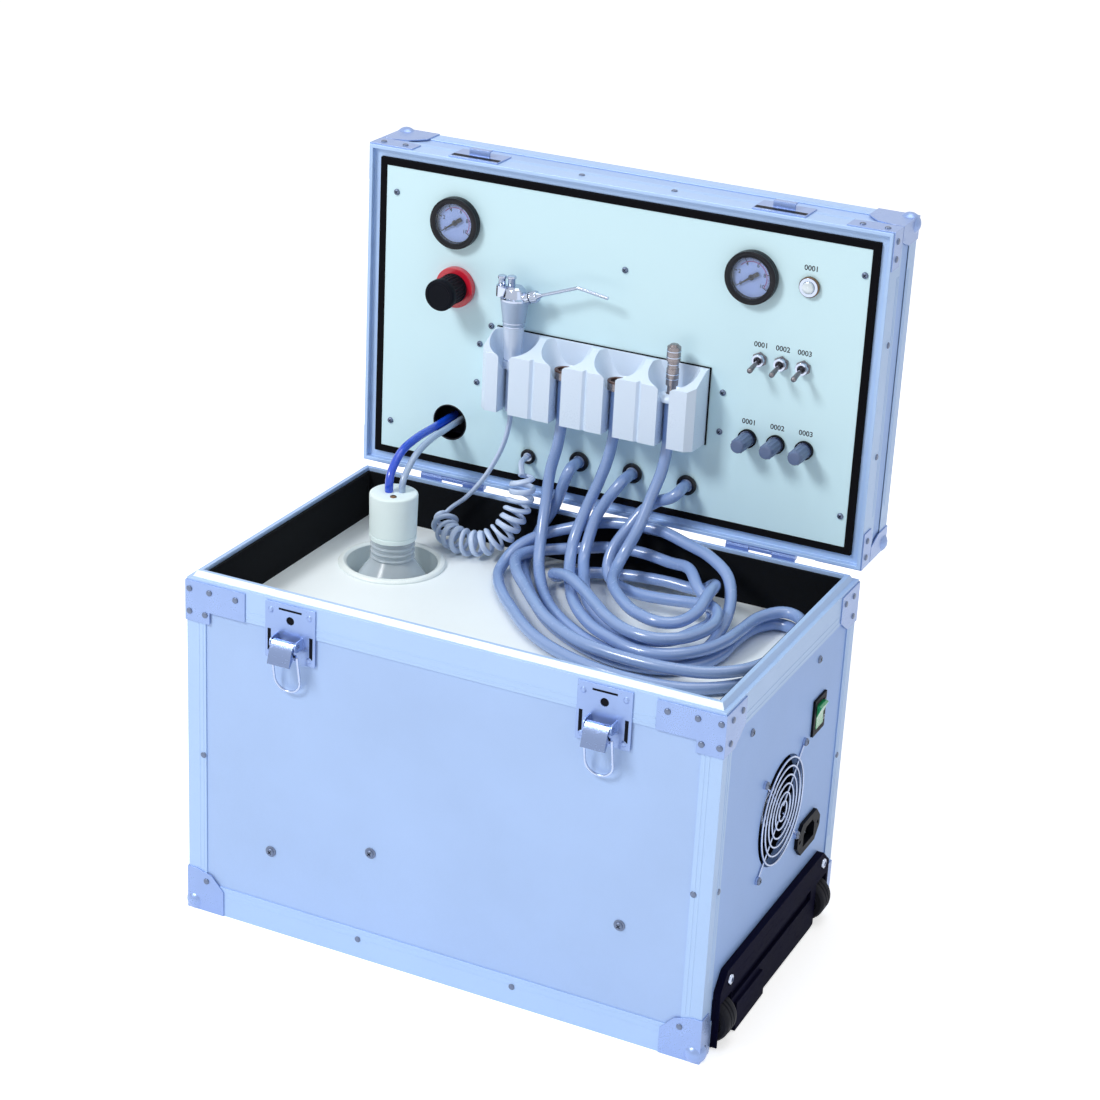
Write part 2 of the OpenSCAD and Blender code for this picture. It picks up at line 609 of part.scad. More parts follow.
comp_x = [-20, 130];
comp_foot = [[-15, 55], [-15, -55], [125, 55], [125, -55]];
foot_h = 15;
comp_z = 78;
module compressor() color([0.45, 0.46, 0.50]) {
    for (p = comp_foot) translate([p.x, p.y, wall_in]) cylinder(r = 9, h = foot_h + 0.5);
    block([comp_x[0] - 10, -66, wall_in + foot_h], [comp_x[1] + 10, 66, wall_in + foot_h + 3.5]);
    bar_x(comp_x[0] + 18, comp_x[1] - 18, 0, comp_z, 48);
    for (x = comp_x) {
        translate([x, 0, wall_in + foot_h + 3]) cylinder(r = 19, h = 110);
        bar_x(x - 20, x + 20, 0, comp_z, 34);
        translate([x, 0, 130]) cylinder(r = 28, h = 46);
        for (i = [0 : 4]) translate([x, 0, 133 + 9 * i]) cylinder(r = 31, h = 3);
        translate([x, 0, 175]) cylinder(r = 24, h = 14);
    }
}
tank_z = 64;
tank_x = -150;
tank_half = 104;
module air_tank() color([0.55, 0.57, 0.62]) {
    bar_y(-tank_half, tank_half, tank_x, tank_z, tank_r);
    for (s = [-1, 1]) {
        translate([0, s * tank_half, 0]) bar_y(s > 0 ? -0.1 : -8, s > 0 ? 8 : 0.1, tank_x, tank_z, tank_r - 7);
        difference() {
            block([tank_x - 24, s * 60 - 5, wall_in], [tank_x + 24, s * 60 + 5, tank_z - 10]);
            bar_y(s * 60 - 6, s * 60 + 6, tank_x, tank_z, tank_r);
        }
    }
}
sleeve_end = 150;
module handle_sleeves() color(steel) for (s = [-1, 1]) difference() {
    bar_x(-panel_x, sleeve_end, s * rod_y, rod_z, sleeve_r);
    bar_x(-half_w, sleeve_end + 1, s * rod_y, rod_z, rod_r + fit);
}
grip_r = 8;
grip_gap = 2;
rod_end = 130;
module pull_handle() color(dark_steel) {
    bar_y(-rod_y - grip_r, rod_y + grip_r, -half_w - grip_gap - grip_r, rod_z, grip_r);
    for (s = [-1, 1]) bar_x(-half_w - grip_gap - grip_r, rod_end, s * rod_y, rod_z, rod_r);
}

// ---- Water bottle ----

cap_z = 278;
cap_top = 318;
neck_r = 17;
thread_r = 14.5;
bottle_z = 133;
shoulder_z = 228;
bottle_t = 1.6;
module at_well() translate([well_xy.x, well_xy.y, 0]) children();
module bottle() color([0.80, 0.86, 0.90, 0.5]) at_well() rotate_extrude($fn = 96) polygon([
    [0, bottle_z], [bottle_r - 4, bottle_z], [bottle_r, bottle_z + 4], [bottle_r, shoulder_z],
    [bottle_r - 5, shoulder_z + 14], [neck_r + 4, shoulder_z + 27], [neck_r, shoulder_z + 33],
    [neck_r, cap_z - 2], [neck_r + 1.4, cap_z - 2], [neck_r + 1.4, cap_z - 0.3],
    [thread_r, cap_z - 0.3], [thread_r, cap_z + 21], [thread_r - bottle_t, cap_z + 21],
    [thread_r - bottle_t, cap_z - 3], [neck_r - bottle_t, cap_z - 5],
    [neck_r - bottle_t, shoulder_z + 32.4], [neck_r + 3, shoulder_z + 26],
    [bottle_r - 6.3, shoulder_z + 13], [bottle_r - bottle_t, shoulder_z],
    [bottle_r - bottle_t, bottle_z + 5], [bottle_r - 5, bottle_z + bottle_t],
    [0, bottle_z + bottle_t]]);
cap_screws = [[-9, 7], [5, -10]];
module bottle_cap() color([0.88, 0.95, 0.94]) at_well() difference() {
    union() {
        translate([0, 0, cap_z]) cylinder(r1 = cap_r - 0.6, r2 = cap_r, h = cap_top - cap_z - 1);
        translate([0, 0, cap_top - 1]) cylinder(r1 = cap_r, r2 = cap_r - 1, h = 1);
    }
    translate([0, 0, cap_z - 1]) cylinder(r = thread_r + fit, h = 22.5);
    for (p = cap_screws) translate([p.x, p.y, cap_top - 2]) cylinder(r = 2, h = 3);
}

// ---- Lid: shell, frame and corner plates ----

// Moves a ring built in the XY plane, height up, onto the lid, height towards the back
module lid_ring(low, high) on_lid() translate([0, 0, lid_h / 2]) rotate([-90, 0, 0])
    mitred_ring(case_w, lid_h, low, high) children();

// A round bar along the lid's depth, from a to b, at (x, h)
module round_v(x, h, a, b, r) translate([x, a, h]) rotate([-90, 0, 0]) cylinder(r = r, h = b - a);

flange_v = 5.2;                    // front of the lid frame's inner flange
sheet_t = 5;
module lid_panels() color(panel_blue) on_lid() {
    for (s = [0, 1]) mirror([s, 0, 0])
        block([-panel_x, flange_v + frame_t, skin_t], [-panel_x + wall_t, lid_t - skin_t, lid_h - skin_t]);
    for (h = [skin_t, lid_h - skin_t - wall_t])
        block([-panel_x + wall_t, flange_v + frame_t, h], [panel_x - wall_t, lid_t - skin_t, h + wall_t]);
    block([-panel_x + wall_t, lid_t - skin_t - sheet_t, wall_in],
        [panel_x - wall_t, lid_t - skin_t, lid_h - wall_in]);
}
module lid_frame() color(alloy) {
    lid_ring(0, band_h) polygon([[0, lip_v], [3, lip_v], [3, flange_v], [leg_in, flange_v],
        [leg_in, 14], [leg_in - 1.4, 14], [leg_in - 1.4, flange_v + frame_t],
        [skin_t, flange_v + frame_t], [skin_t, band_h], [0, band_h]]);
    lid_ring(lid_t - post_w, lid_t) polygon([[0, lid_t - post_w], [skin_t, lid_t - post_w],
        [skin_t, lid_t - skin_t], [post_w, lid_t - skin_t], [post_w, lid_t], [0, lid_t]]);
}

catch_v = 14;
module lid_hardware() color(steel) {
    on_lid() translate([0, lid_t, lid_h / 2]) rotate([90, 0, 0]) lid_corners();
    on_lid() for (s = [-1, 1]) translate([s * latch_x, 0, lid_h]) {
        block([-latch_w / 2, 2.5, 0], [latch_w / 2, catch_v + 14, latch_t]);
        block([-9, catch_v, 0], [9, catch_v + 2, 6]);
        block([-9, catch_v, 5], [9, catch_v + 6, 6.2]);
    }
}
// The ball corner and the riveted plate of the lid, z running from the back sheet to the opening
module lid_corners() four_corners() {
    ball_corner();
    lid_plate();
}
module lid_plate() translate([-half_w, -half_d, lid_t]) {
    rotate([90, 0, 0]) linear_extrude(plate_t) polygon([[0, -2], [38, -2], [38, -18], [20, -21], [0, -21]]);
    translate([-plate_t, 0, 0]) rotate([90, 0, 90]) linear_extrude(plate_t)
        polygon([[-plate_t, -21], [-plate_t, -2], [30, -2], [30, -18], [18, -21]]);
}

// Rivets round the lid and the screws on the control panel
panel_screws = [[25 - half_w, lid_h - 37], [7, lid_h - 67], [half_w - 20, lid_h - 36.5],
    [24 - half_w, 39], [half_w - 21, 41], [97.5, 123], [97, 90], [-109, 140], [-119, 122.6],
    [-120.6, 89]];
module lid_fasteners() color(dark_steel) on_lid() {
    for (s = [-1, 1]) {
        for (p = [[8, 10], [28, 10]]) {
            translate([s * (half_w - p.x), p.y, lid_h + plate_t]) rivet();
            translate([s * (half_w - p.x), p.y, -plate_t]) rotate([180, 0, 0]) rivet();
        }
        for (h = [8, 22, lid_h - 22, lid_h - 8])
            translate([s * (half_w + plate_t), 10, h]) rotate([0, s * 90, 0]) rivet();
        for (h = [lid_h / 3, 2 * lid_h / 3])
            translate([s * half_w, 14, h]) rotate([0, s * 90, 0]) rivet();
        translate([s * 40, 14, lid_h]) rivet();
    }
    for (p = panel_screws) translate([p.x, panel_v, p.y]) rotate([90, 0, 0]) screw(2.6);
}

// ---- Lid: gasket, control panel and what is fitted in it ----

gasket_lip = 2;                    // how far the gasket reaches behind the panel
module panel_gasket() color(black) lid_ring(0, band_h) polygon([[leg_in, 2.2], [gasket_in, 2.2],
    [gasket_in, panel_v + panel_t], [gasket_in + gasket_lip, panel_v + panel_t],
    [gasket_in + gasket_lip, panel_v + panel_t + 2], [leg_in, panel_v + panel_t + 2]]);

gauge_h = lid_h - 53;              // the gauges hang from the lid's top edge
gauge_xh = [[-144, gauge_h], [115, gauge_h]];
reg_xh = [-142, gauge_h - 54];
button_xh = [162, gauge_h];
toggle_xh = [144.5, gauge_h - 65.5];
valve_xh = [145.4, 89.5];
tube_hole = [-144.5, 48.5];
tube_hole_r = 15;
gland_xh = [[-23, 39.5], [25, 39.5], [73, 39.5]];
cord_xh = [-69.6, 34];
gauge_body_r = gauge_d / 2 - 2.3;
reg_body_r = reg_r - 1;
neck = 4.1;                        // radius of every threaded neck through the panel
button_neck = 6;
panel_gap = 0.2;
module control_panel() color(white_sheet) on_lid() difference() {
    block([-half_w + gasket_in + panel_gap, panel_v, gasket_in + panel_gap],
        [half_w - gasket_in - panel_gap, panel_v + panel_t, lid_h - gasket_in - panel_gap]);
    for (p = gauge_xh) round_v(p.x, p.y, 0, 10, gauge_body_r + 0.2);
    round_v(reg_xh.x, reg_xh.y, 0, 10, reg_body_r + 0.2);
    round_v(button_xh.x, button_xh.y, 0, 10, button_neck + 0.2);
    for (i = [-1 : 1]) {
        round_v(toggle_xh.x + i * toggle_pitch, toggle_xh.y, 0, 10, neck + 0.2);
        round_v(valve_xh.x + i * valve_pitch, valve_xh.y, 0, 10, neck + 0.2);
    }
    for (p = gland_xh) round_v(p.x, p.y, 0, 10, neck + 0.2);
    round_v(cord_xh.x, cord_xh.y, 0, 10, neck + 0.2);
    round_v(tube_hole.x, tube_hole.y, 0, 10, tube_hole_r);
    for (p = panel_screws) round_v(p.x, p.y, 0, 10, shank_r + fit);
}

// Pressure gauges: v of the bezel's face, the lens, the needle and the dial
bezel_v = -4;
lens_v = -3;
needle_v = -1.6;
dial_v = 0.5;
dial_r = gauge_d / 2 - 4.75;
needle_pin = 0.8;
needle_rest = 215;                 // direction of the needle at zero
module gauge_cases() color(black) on_lid() for (p = gauge_xh) {
    difference() {
        union() {
            round_v(p.x, p.y, bezel_v, panel_v, gauge_d / 2);
            round_v(p.x, p.y, panel_v - 0.5, 28, gauge_body_r);
        }
        round_v(p.x, p.y, bezel_v - 1, dial_v, dial_r);
    }
    round_v(p.x, p.y, needle_v - 0.6, dial_v + 1, needle_pin);
}
module gauge_lenses() color([0.8, 0.9, 1, 0.3]) on_lid() for (p = gauge_xh)
    round_v(p.x, p.y, lens_v - 0.5, lens_v + 0.4, dial_r - fit);
module needle(p) color(black) on_lid() translate([p.x, needle_v, p.y]) rotate([-90, 0, 0])
    difference() {
        union() {
            cylinder(r = 2.4, h = 0.8);
            rotate(-needle_rest) linear_extrude(0.8)
                polygon([[-6, -1.4], [-6, 1.4], [0, 1], [dial_r - 3, 0.25], [dial_r - 3, -0.25], [0, -1]]);
        }
        translate([0, 0, -1]) cylinder(r = needle_pin + fit, h = 3);
    }
module left_needle() needle(gauge_xh[0]);
module right_needle() needle(gauge_xh[1]);

// Pressure regulator: red ring and body, knob on a stub shaft
ring_out = 6;
ring_r = reg_r + 4;
reg_shaft = 4;
module regulator_body() color([0.80, 0.05, 0.15]) on_lid() difference() {
    union() {
        round_v(reg_xh.x, reg_xh.y, panel_v - ring_out, panel_v, ring_r);
        round_v(reg_xh.x, reg_xh.y, panel_v - 0.5, 30, reg_body_r);
    }
    round_v(reg_xh.x, reg_xh.y, -big, 12, reg_shaft + fit);
}
knob_v = panel_v - ring_out - 0.3;
module regulator_knob() color(black) on_lid() {
    round_v(reg_xh.x, reg_xh.y, knob_v - reg_len + 1.5, knob_v, reg_r);
    round_v(reg_xh.x, reg_xh.y, knob_v - reg_len, knob_v - reg_len + 1.6, reg_r - 1.5);
    round_v(reg_xh.x, reg_xh.y, knob_v - 0.5, 11, reg_shaft);
}

// Everything else that is fixed in the panel
button_r = 5;
valve_ring_r = 7;
valve_knob_r = 6;
valve_len = 21;
stem_r = 2;
gland_r = 7.5;
socket_r = 3.3;                    // socket of a toggle's pivot
module panel_bushings() color(steel) on_lid() {
    difference() {
        union() {
            round_v(button_xh.x, button_xh.y, -1, panel_v, button_r + 2.5);
            round_v(button_xh.x, button_xh.y, panel_v - 0.5, 14, button_neck);
        }
        round_v(button_xh.x, button_xh.y, -2, 6, button_r + fit);
    }
    for (i = [-1 : 1]) {
        tx = toggle_xh.x + i * toggle_pitch;
        difference() {
            union() {
                round_v(tx, toggle_xh.y, -3, panel_v, 5);
                round_v(tx, toggle_xh.y, panel_v - 0.5, panel_v + panel_t + 0.5, neck);
                block([tx - 5, panel_v + panel_t, toggle_xh.y - 6], [tx + 5, 18, toggle_xh.y + 6]);
            }
            round_v(tx, toggle_xh.y, -4, 3.2, socket_r);
        }
        vx = valve_xh.x + i * valve_pitch;
        round_v(vx, valve_xh.y, 0.5, panel_v, valve_ring_r);
        round_v(vx, valve_xh.y, panel_v - 0.5, 9, neck);
        round_v(vx, valve_xh.y, panel_v + panel_t, 20, valve_knob_r);
        round_v(vx, valve_xh.y, 0.5 - valve_len / 2, 0.6, stem_r);
    }
    for (p = concat(gland_xh, [cord_xh])) {
        round_v(p.x, p.y, 0, panel_v, p == cord_xh ? 5.5 : gland_r);
        round_v(p.x, p.y, panel_v - 0.5, panel_v + panel_t + 0.5, neck);
        round_v(p.x, p.y, panel_v + panel_t, 16, neck + 1);
    }
    block([tube_hole.x - 22, manifold_v, tube_hole.y - 16],
        [tube_hole.x + 22, lid_t - skin_t - sheet_t, tube_hole.y + 16]);
}
manifold_v = 22;
button_out = 3.5;
button_travel = 2.5;
module push_button() color(white_sheet) on_lid()
    round_v(button_xh.x, button_xh.y, -button_out, 2.5, button_r);

// Toggle lever: a round pivot across its socket, and a bat that hangs down a little
toggle_drop = 11;
toggle_len = 18;
pivot_r = 2.4;
pivot_half = 1.9;                  // half the pivot's length, along X
module toggle(i) color([0.55, 0.55, 0.58]) on_lid()
    translate([toggle_xh.x + i * toggle_pitch, 0, toggle_xh.y]) {
        bar_x(-pivot_half, pivot_half, 0, 0, pivot_r);
        rotate([90 + toggle_drop, 0, 0]) {
            cylinder(r1 = 1.4, r2 = 2.1, h = toggle_len);
            translate([0, 0, toggle_len]) sphere(r = 2.1);
        }
    }
module toggle_1() toggle(-1);
module toggle_2() toggle(0);
module toggle_3() toggle(1);

module valve_knob(i) color(hose_grey) on_lid() {
    vx = valve_xh.x + i * valve_pitch;
    difference() {
        union() {
            round_v(vx, valve_xh.y, 1 - valve_len, 0.2, valve_knob_r);
            round_v(vx, valve_xh.y, -valve_len, 1.2 - valve_len, valve_knob_r - 1);
            for (a = [0 : 30 : 330]) translate([vx, 2 - valve_len, valve_xh.y]) rotate([-90, a, 0])
                translate([valve_knob_r, 0, 0]) cylinder(r = 0.5, h = valve_len - 4, $fn = 16);
        }
        round_v(vx, valve_xh.y, 0.2 - valve_len / 2, 1, stem_r + fit);
    }
}
module valve_knob_1() valve_knob(-1);
module valve_knob_2() valve_knob(0);
module valve_knob_3() valve_knob(1);

// ---- Instrument holder and what hangs in it ----

segs = 4;
holder_x = -8.5;                   // middle of the holder
holder_low = 77;
holder_v = panel_v - holder_out;
slot_dx = -2;                      // each slot lies a little left of its segment's middle
axis_v = panel_v - holder_out / 2; // the channels' axis
seat_h = holder_low + 37;          // the step that each instrument rests on
slot_x = [for (i = [0 : segs - 1]) holder_x + (i - (segs - 1) / 2) * seg_w + slot_dx];
holder_top = holder_low + holder_h;
bowl_r = [8.5, 15, 22];            // the bowl's radius at its seat, at its knee and at its brim
module instrument_holder() color([0.93, 0.96, 0.99]) on_lid() difference() {
    slab_x(holder_x - segs * seg_w / 2, holder_x + segs * seg_w / 2) polygon([
        [panel_v, holder_low], [holder_v, holder_low + 2], [holder_v, holder_top - 12],
        [panel_v - 8, holder_top], [panel_v, holder_top]]);
    for (x = slot_x) {
        translate([x, axis_v, 0]) rotate_extrude() polygon([[0, holder_low - 1],
            [channel_r, holder_low - 1], [channel_r, seat_h], [bowl_r[0], seat_h],
            [bowl_r[1], seat_h + 8], [bowl_r[2], seat_h + 28], [0, seat_h + 28]]);
        block([x - slot_w / 2, holder_v - 1, holder_low - 1], [x + slot_w / 2, axis_v, big]);
    }
    for (i = [1 : segs - 1]) translate([holder_x + (i - segs / 2) * seg_w, holder_v, holder_low - 1])
        rotate(45) translate([-1.6, -1.6, 0]) cube([3.2, 3.2, big]);
    for (s = [-1, 1]) translate([holder_x + s * segs * seg_w / 2, holder_v, holder_low - 1])
        rotate(45) translate([-4, -4, 0]) cube([8, 8, big]);
}
seat_gap = 0.3;
coupling_r = 8;
module hose_couplings() color(steel) on_lid() {
    for (i = [1, 2]) difference() {
        translate([slot_x[i], axis_v, seat_h]) cylinder(r = coupling_r, h = 7);
        translate([slot_x[i], axis_v, seat_h + 2]) cylinder(r = coupling_r - 2.4, h = 7);
    }
    translate([slot_x[3], axis_v, seat_h]) {
        cylinder(r = coupling_r, h = 5);
        cylinder(r = 3.6, h = 14);
        translate([0, 0, 13]) cylinder(r = 5, h = 14);
        translate([0, 0, 26]) cylinder(r = 4.4, h = 8);
        translate([0, 0, 33]) cylinder(r = 5.6, h = 12);
        translate([0, 0, 44]) cylinder(r1 = 5.6, r2 = 3, h = 3);
    }
}

// Three-way syringe: heights are above the lid's foot
syr_x = slot_x[0];
tail_h = 77;
tail_r = 4.5;
head_h = 172;
collar_tilt = 20.6;
collar_at = 14;                    // from the syringe's axis to the collar
collar_dh = 4;
button_x = [-12, -3.5];
syr_button_r = 3;
syr_button_travel = 3;
nozzle_stub = 2.4;
module at_syringe() on_lid() translate([syr_x, axis_v, 0]) children();
module at_collar() at_syringe() translate([collar_at, 0, head_h + collar_dh])
    rotate([0, 90 - collar_tilt, 0]) children();
module syringe_body() color(steel) difference() {
    union() {
        at_syringe() {
            rotate_extrude() polygon([[0, tail_h], [tail_r, tail_h], [tail_r, seat_h + seat_gap],
                [7.6, seat_h + seat_gap], [7.6, seat_h + 4], [7, seat_h + 8], [8.75, 150],
                [11.9, head_h], [11.9, head_h + 1.5], [10, head_h + 2.5], [8, head_h + 9],
                [6, head_h + 11], [0, head_h + 11]]);
            translate([button_x[0], 0, head_h + 1]) cylinder(r = 4.6, h = 9);
            block([button_x[0], -4.6, head_h + 1], [0, 4.6, head_h + 9]);
        }
        at_collar() translate([0, 0, -collar_at]) cylinder(r = 5, h = collar_at - 0.3);
    }
    at_syringe() for (x = button_x)
        translate([x, 0, head_h + 3]) cylinder(r = syr_button_r + fit, h = 20);
    at_collar() translate([0, 0, -6]) cylinder(r = nozzle_stub + fit, h = 20);
}
module syringe_button(i) color(dark_steel) at_syringe()
    translate([button_x[i], 0, head_h + 3.2 + syr_button_travel])
    cylinder(r = syr_button_r, h = 9 + i);
module syringe_button_1() syringe_button(0);
module syringe_button_2() syringe_button(1);
nozzle_r = 1.4;
nozzle_run = [38, 27];             // lengths of the nozzle's two straight runs
nozzle_bend = 29;
module syringe_nozzle() color(steel) at_collar() {
    translate([0, 0, -5.5]) cylinder(r = nozzle_stub, h = 6);
    difference() {
        cylinder(r = 4.6, h = 7);
        for (a = [0 : 30 : 330]) rotate(a) translate([4.9, 0, -1]) cylinder(r = 0.6, h = 9, $fn = 16);
    }
    translate([0, 0, 6.5]) cylinder(r1 = 3.6, r2 = nozzle_r, h = 4);
    translate([0, 0, 6]) cylinder(r = nozzle_r, h = nozzle_run[0]);
    translate([0, 0, 6 + nozzle_run[0]]) {
        sphere(r = nozzle_r);
        rotate([0, nozzle_bend, 0]) cylinder(r = nozzle_r, h = nozzle_run[1]);
    }
}

// ---- free tubes, swept along route points in millimetres in the assembly frame
function unit(v) = v / norm(v);
function spline(a, b, c, d, t) = 0.5 * (2 * b + (c - a) * t + (2 * a - 5 * b + 4 * c - d) * t * t
    + (3 * b - a - 3 * c + d) * t * t * t);
function at(p, i) = p[max(0, min(len(p) - 1, i))];
function on_route(p, s) = let (i = min(len(p) - 2, floor(s)))
    spline(at(p, i - 1), at(p, i), at(p, i + 1), at(p, i + 2), s - i);
function heading(p, i) = unit(unit(at(p, i + 1) - at(p, i) + (i >= len(p) - 1 ? at(p, i) - at(p, i - 1)
    : [0, 0, 0])) + unit(at(p, i) - at(p, i - 1) + (i <= 0 ? at(p, 1) - at(p, 0) : [0, 0, 0])));
function square_to(v, d) = unit(v - (v * d) * d);
// a side direction carried along the path without twisting
function carried(p, first) = [for (i = 0, u = square_to(first, heading(p, 0)); i < len(p);
    i = i + 1, u = square_to(u, heading(p, min(i, len(p) - 1)))) u];
function ring_at(p, d, u, r, sides) = [for (k = [0 : sides - 1])
    p + r * cos(360 * k / sides) * u + r * sin(360 * k / sides) * cross(d, u)];
module tube(path, r, sides, first = [0.3, 0.2, 0.1]) {
    sides_of = carried(path, first);
    points = [for (i = [0 : len(path) - 1]) each
        ring_at(path[i], heading(path, i), sides_of[i], r, sides)];
    last = (len(path) - 1) * sides;
    walls = [for (i = [0 : len(path) - 2], k = [0 : sides - 1]) let (k2 = (k + 1) % sides)
        [i * sides + k, i * sides + k2, (i + 1) * sides + k2, (i + 1) * sides + k]];
    polyhedron(points = points, faces = concat(walls, [[for (k = [sides - 1 : -1 : 0]) k]],
        [[for (k = [0 : sides - 1]) last + k]]), convexity = 12);
}
// the path cut into even short steps, with the distance run so far
function stepped(p, step) = [for (i = [0 : len(p) - 2]) let (n = ceil(norm(p[i + 1] - p[i]) / step))
    for (k = [0 : n - 1]) p[i] + (p[i + 1] - p[i]) * k / n];
function run_of(p) = [for (i = 0, s = 0; i < len(p); i = i + 1,
    s = s + (i < len(p) ? norm(p[i] - p[i - 1]) : 0)) s];
function length_of(p) = let (s = run_of(p)) s[len(s) - 1];
function self_gap(p, r, apart) = let (s = run_of(p))
    min([for (i = [0 : 2 : len(p) - 1], j = [i + 1 : len(p) - 1]) if (s[j] - s[i] > apart)
    norm(p[j] - p[i])]) - 2 * r;
function gap_to(p, q, r) = min([for (a = p, b = q) norm(a - b)]) - 2 * r;

// route of the curly cord: its straight lead, then the line its curls turn round
curly_lead = [[-81, 122.5, 377.8], [-81, 122.5, 368], [-84, 120, 350], [-91, 118, 332],
    [-101, 116, 314], [-114, 114.5, 297], [-126, 113.5, 286]];
curly_axis = [[-132, 111, 279], [-124, 99, 270.5], [-110, 91.5, 268], [-95, 90, 268],
    [-82, 93, 271], [-72, 99, 279], [-66, 105, 291], [-63, 110, 304], [-62, 113, 317],
    [-64, 115, 328]];
curly_end = [[-68, 121, 334], [-69.6, 128, 335], [-69.6, 135.4, 335]];
curl_rings = 8;
curl_n = curl_turns * curl_rings;
curl_line = [for (i = [0 : curl_n]) on_route(curly_axis, i * (len(curly_axis) - 1) / curl_n)];
curl_side = carried(curl_line, [0.2, 0.6, 1]);
curl_swell = 4;                    // rings over which a curl opens out and closes
curl_path = [for (i = [0 : curl_n])
    let (r = curl_turn_d / 2 * min(1, i / curl_swell, (curl_n - i) / curl_swell),
        a = 360 * i / curl_rings, d = heading(curl_line, i), u = curl_side[i])
    curl_line[i] + r * (cos(a) * u + sin(a) * cross(d, u))];
curly_path = concat([for (s = [0 : 0.5 : len(curly_lead) - 1]) on_route(curly_lead, s)],
    curl_path, curly_end);
module curly_cord() color(hose_grey) {
    tube(curly_path, curl_d / 2, 6);
    fine = stepped(curly_path, 2);
    echo("curly cord: length mm, least gap to itself mm",
        length_of(fine), self_gap(fine, curl_d / 2, 14));
}

blue_d = 7;
clear_d = 5.5;
blue_route = [[-149, 44, cap_top + 0.5], [-149, 44, cap_top + 8], [-150, 50, 335], [-150, 66, 346],
    [-149.5, 90, 350], [-149, 125, 350], [-149, 157.4, 350]];
clear_route = [[-139.5, 49, cap_top + 0.4], [-139.5, 49, cap_top + 7], [-139.5, 55, 333],
    [-139.5, 72, 344], [-139.5, 98, 349], [-139.5, 128, 349.5], [-139.5, 157.4, 349.5]];
module bottle_tubes() {
    blue = [for (s = [0 : 0.5 : len(blue_route) - 1]) on_route(blue_route, s)];
    clear = [for (s = [0 : 0.5 : len(clear_route) - 1]) on_route(clear_route, s)];
    color(tube_blue) tube(blue, blue_d / 2, 8);
    color(tube_clear) tube(clear, clear_d / 2, 8);
    echo("bottle tubes: lengths mm, least gap between them mm", length_of(blue), length_of(clear),
        gap_to(stepped(blue, 3), stepped(clear, 3), (blue_d + clear_d) / 4));
}

// routes of the three handpiece hoses, from the holder down, round the deck and up to the panel
hose_1 = [
    [-34, 122.5, 415], [-34, 122.5, 394], [-34.2, 122.4, 376], [-36, 121, 357], [-40, 118, 334],
    [-39, 110, 308],
    [-35, 96, 286], [-27, 77, 270], [-13, 55, 262], [3, 33, 260.5], [21, 13, 261], [42, -4, 261],
    [65, -18, 261], [91, -26, 260.5], [118, -25, 261], [139, -10, 261], [148, 15, 263],
    [149, 41, 270], [145, 66, 280], [133, 88, 292], [111, 102, 299], [87, 112, 301], [60, 119, 304],
    [34, 120, 303], [7, 119, 299], [-18, 116, 290], [-42, 106.6, 281], [-56, 92, 271.5], [-58, 69, 261],
    [-47, 45, 261], [-31, 23, 261], [-13, 3, 261], [6, -17, 261], [27, -34, 261], [51, -47, 261],
    [76, -56, 261], [103, -61, 261], [130, -61, 261], [156, -56, 261], [179, -42, 261],
    [195, -21, 260.5], [203, 5, 260.5], [205, 32, 260.5], [204, 59, 260.5], [196, 83, 260.5],
    [184, 91, 260.5], [172, 87, 260.5], [163, 68, 261], [160, 41, 260.5], [160, 14, 260.5],
    [152, -11, 260.5], [134, -31, 260.5], [108, -39, 261], [82, -36, 261], [56, -26, 261],
    [33, -12, 261], [13, 5, 261], [-5, 26, 261], [-21, 47, 260.5], [-36, 70, 261], [-48, 94, 260.5],
    [-51, 112, 267], [-44, 117.9, 286.3], [-36, 120.8, 303], [-31, 121, 318], [-26, 118, 331],
    [-23, 119, 339], [-23, 125.5, 340.5], [-23, 135.5, 340.5]];
hose_2 = [
    [13, 122.5, 415], [13, 122.5, 394], [12.6, 122.4, 376], [9.4, 121, 355], [4, 117, 334],
    [-3, 109, 310], [-6, 96, 287],
    [1, 76, 273], [13, 53, 268], [26, 29, 271], [42, 8, 271], [62, -11, 271], [84, -25, 272],
    [110, -33, 271], [135, -28, 272], [153, -8, 272], [162, 17, 272], [164, 44, 271],
    [167, 71, 271], [178, 88, 272], [190, 90, 272], [201, 79, 272], [207, 54, 272], [207, 27, 272],
    [204, 0, 272], [193, -24, 272], [172, -40, 271], [146, -48, 271], [120, -50, 271],
    [93, -48, 271], [67, -42, 271], [43, -29, 271], [22, -13, 271], [3, 7, 271], [-14, 27, 271],
    [-32, 48, 272], [-45, 71, 272], [-44, 89, 272], [-30, 105, 272], [-5, 113, 276], [21, 114, 282],
    [48, 113, 284], [74, 109, 283], [96, 97, 287], [112, 79, 281], [125, 70, 274], [133, 59, 270],
    [138, 41, 271], [138, 15, 275], [127, -9, 274], [105, -17, 273], [80, -9, 272], [59, 7, 271],
    [41, 27, 271], [27, 50, 271], [15, 74, 271], [6, 93, 280], [7, 107, 305], [13, 112, 320],
    [20, 114, 332], [24, 119, 339], [25, 125.5, 340.5], [25, 135.5, 340.5]];
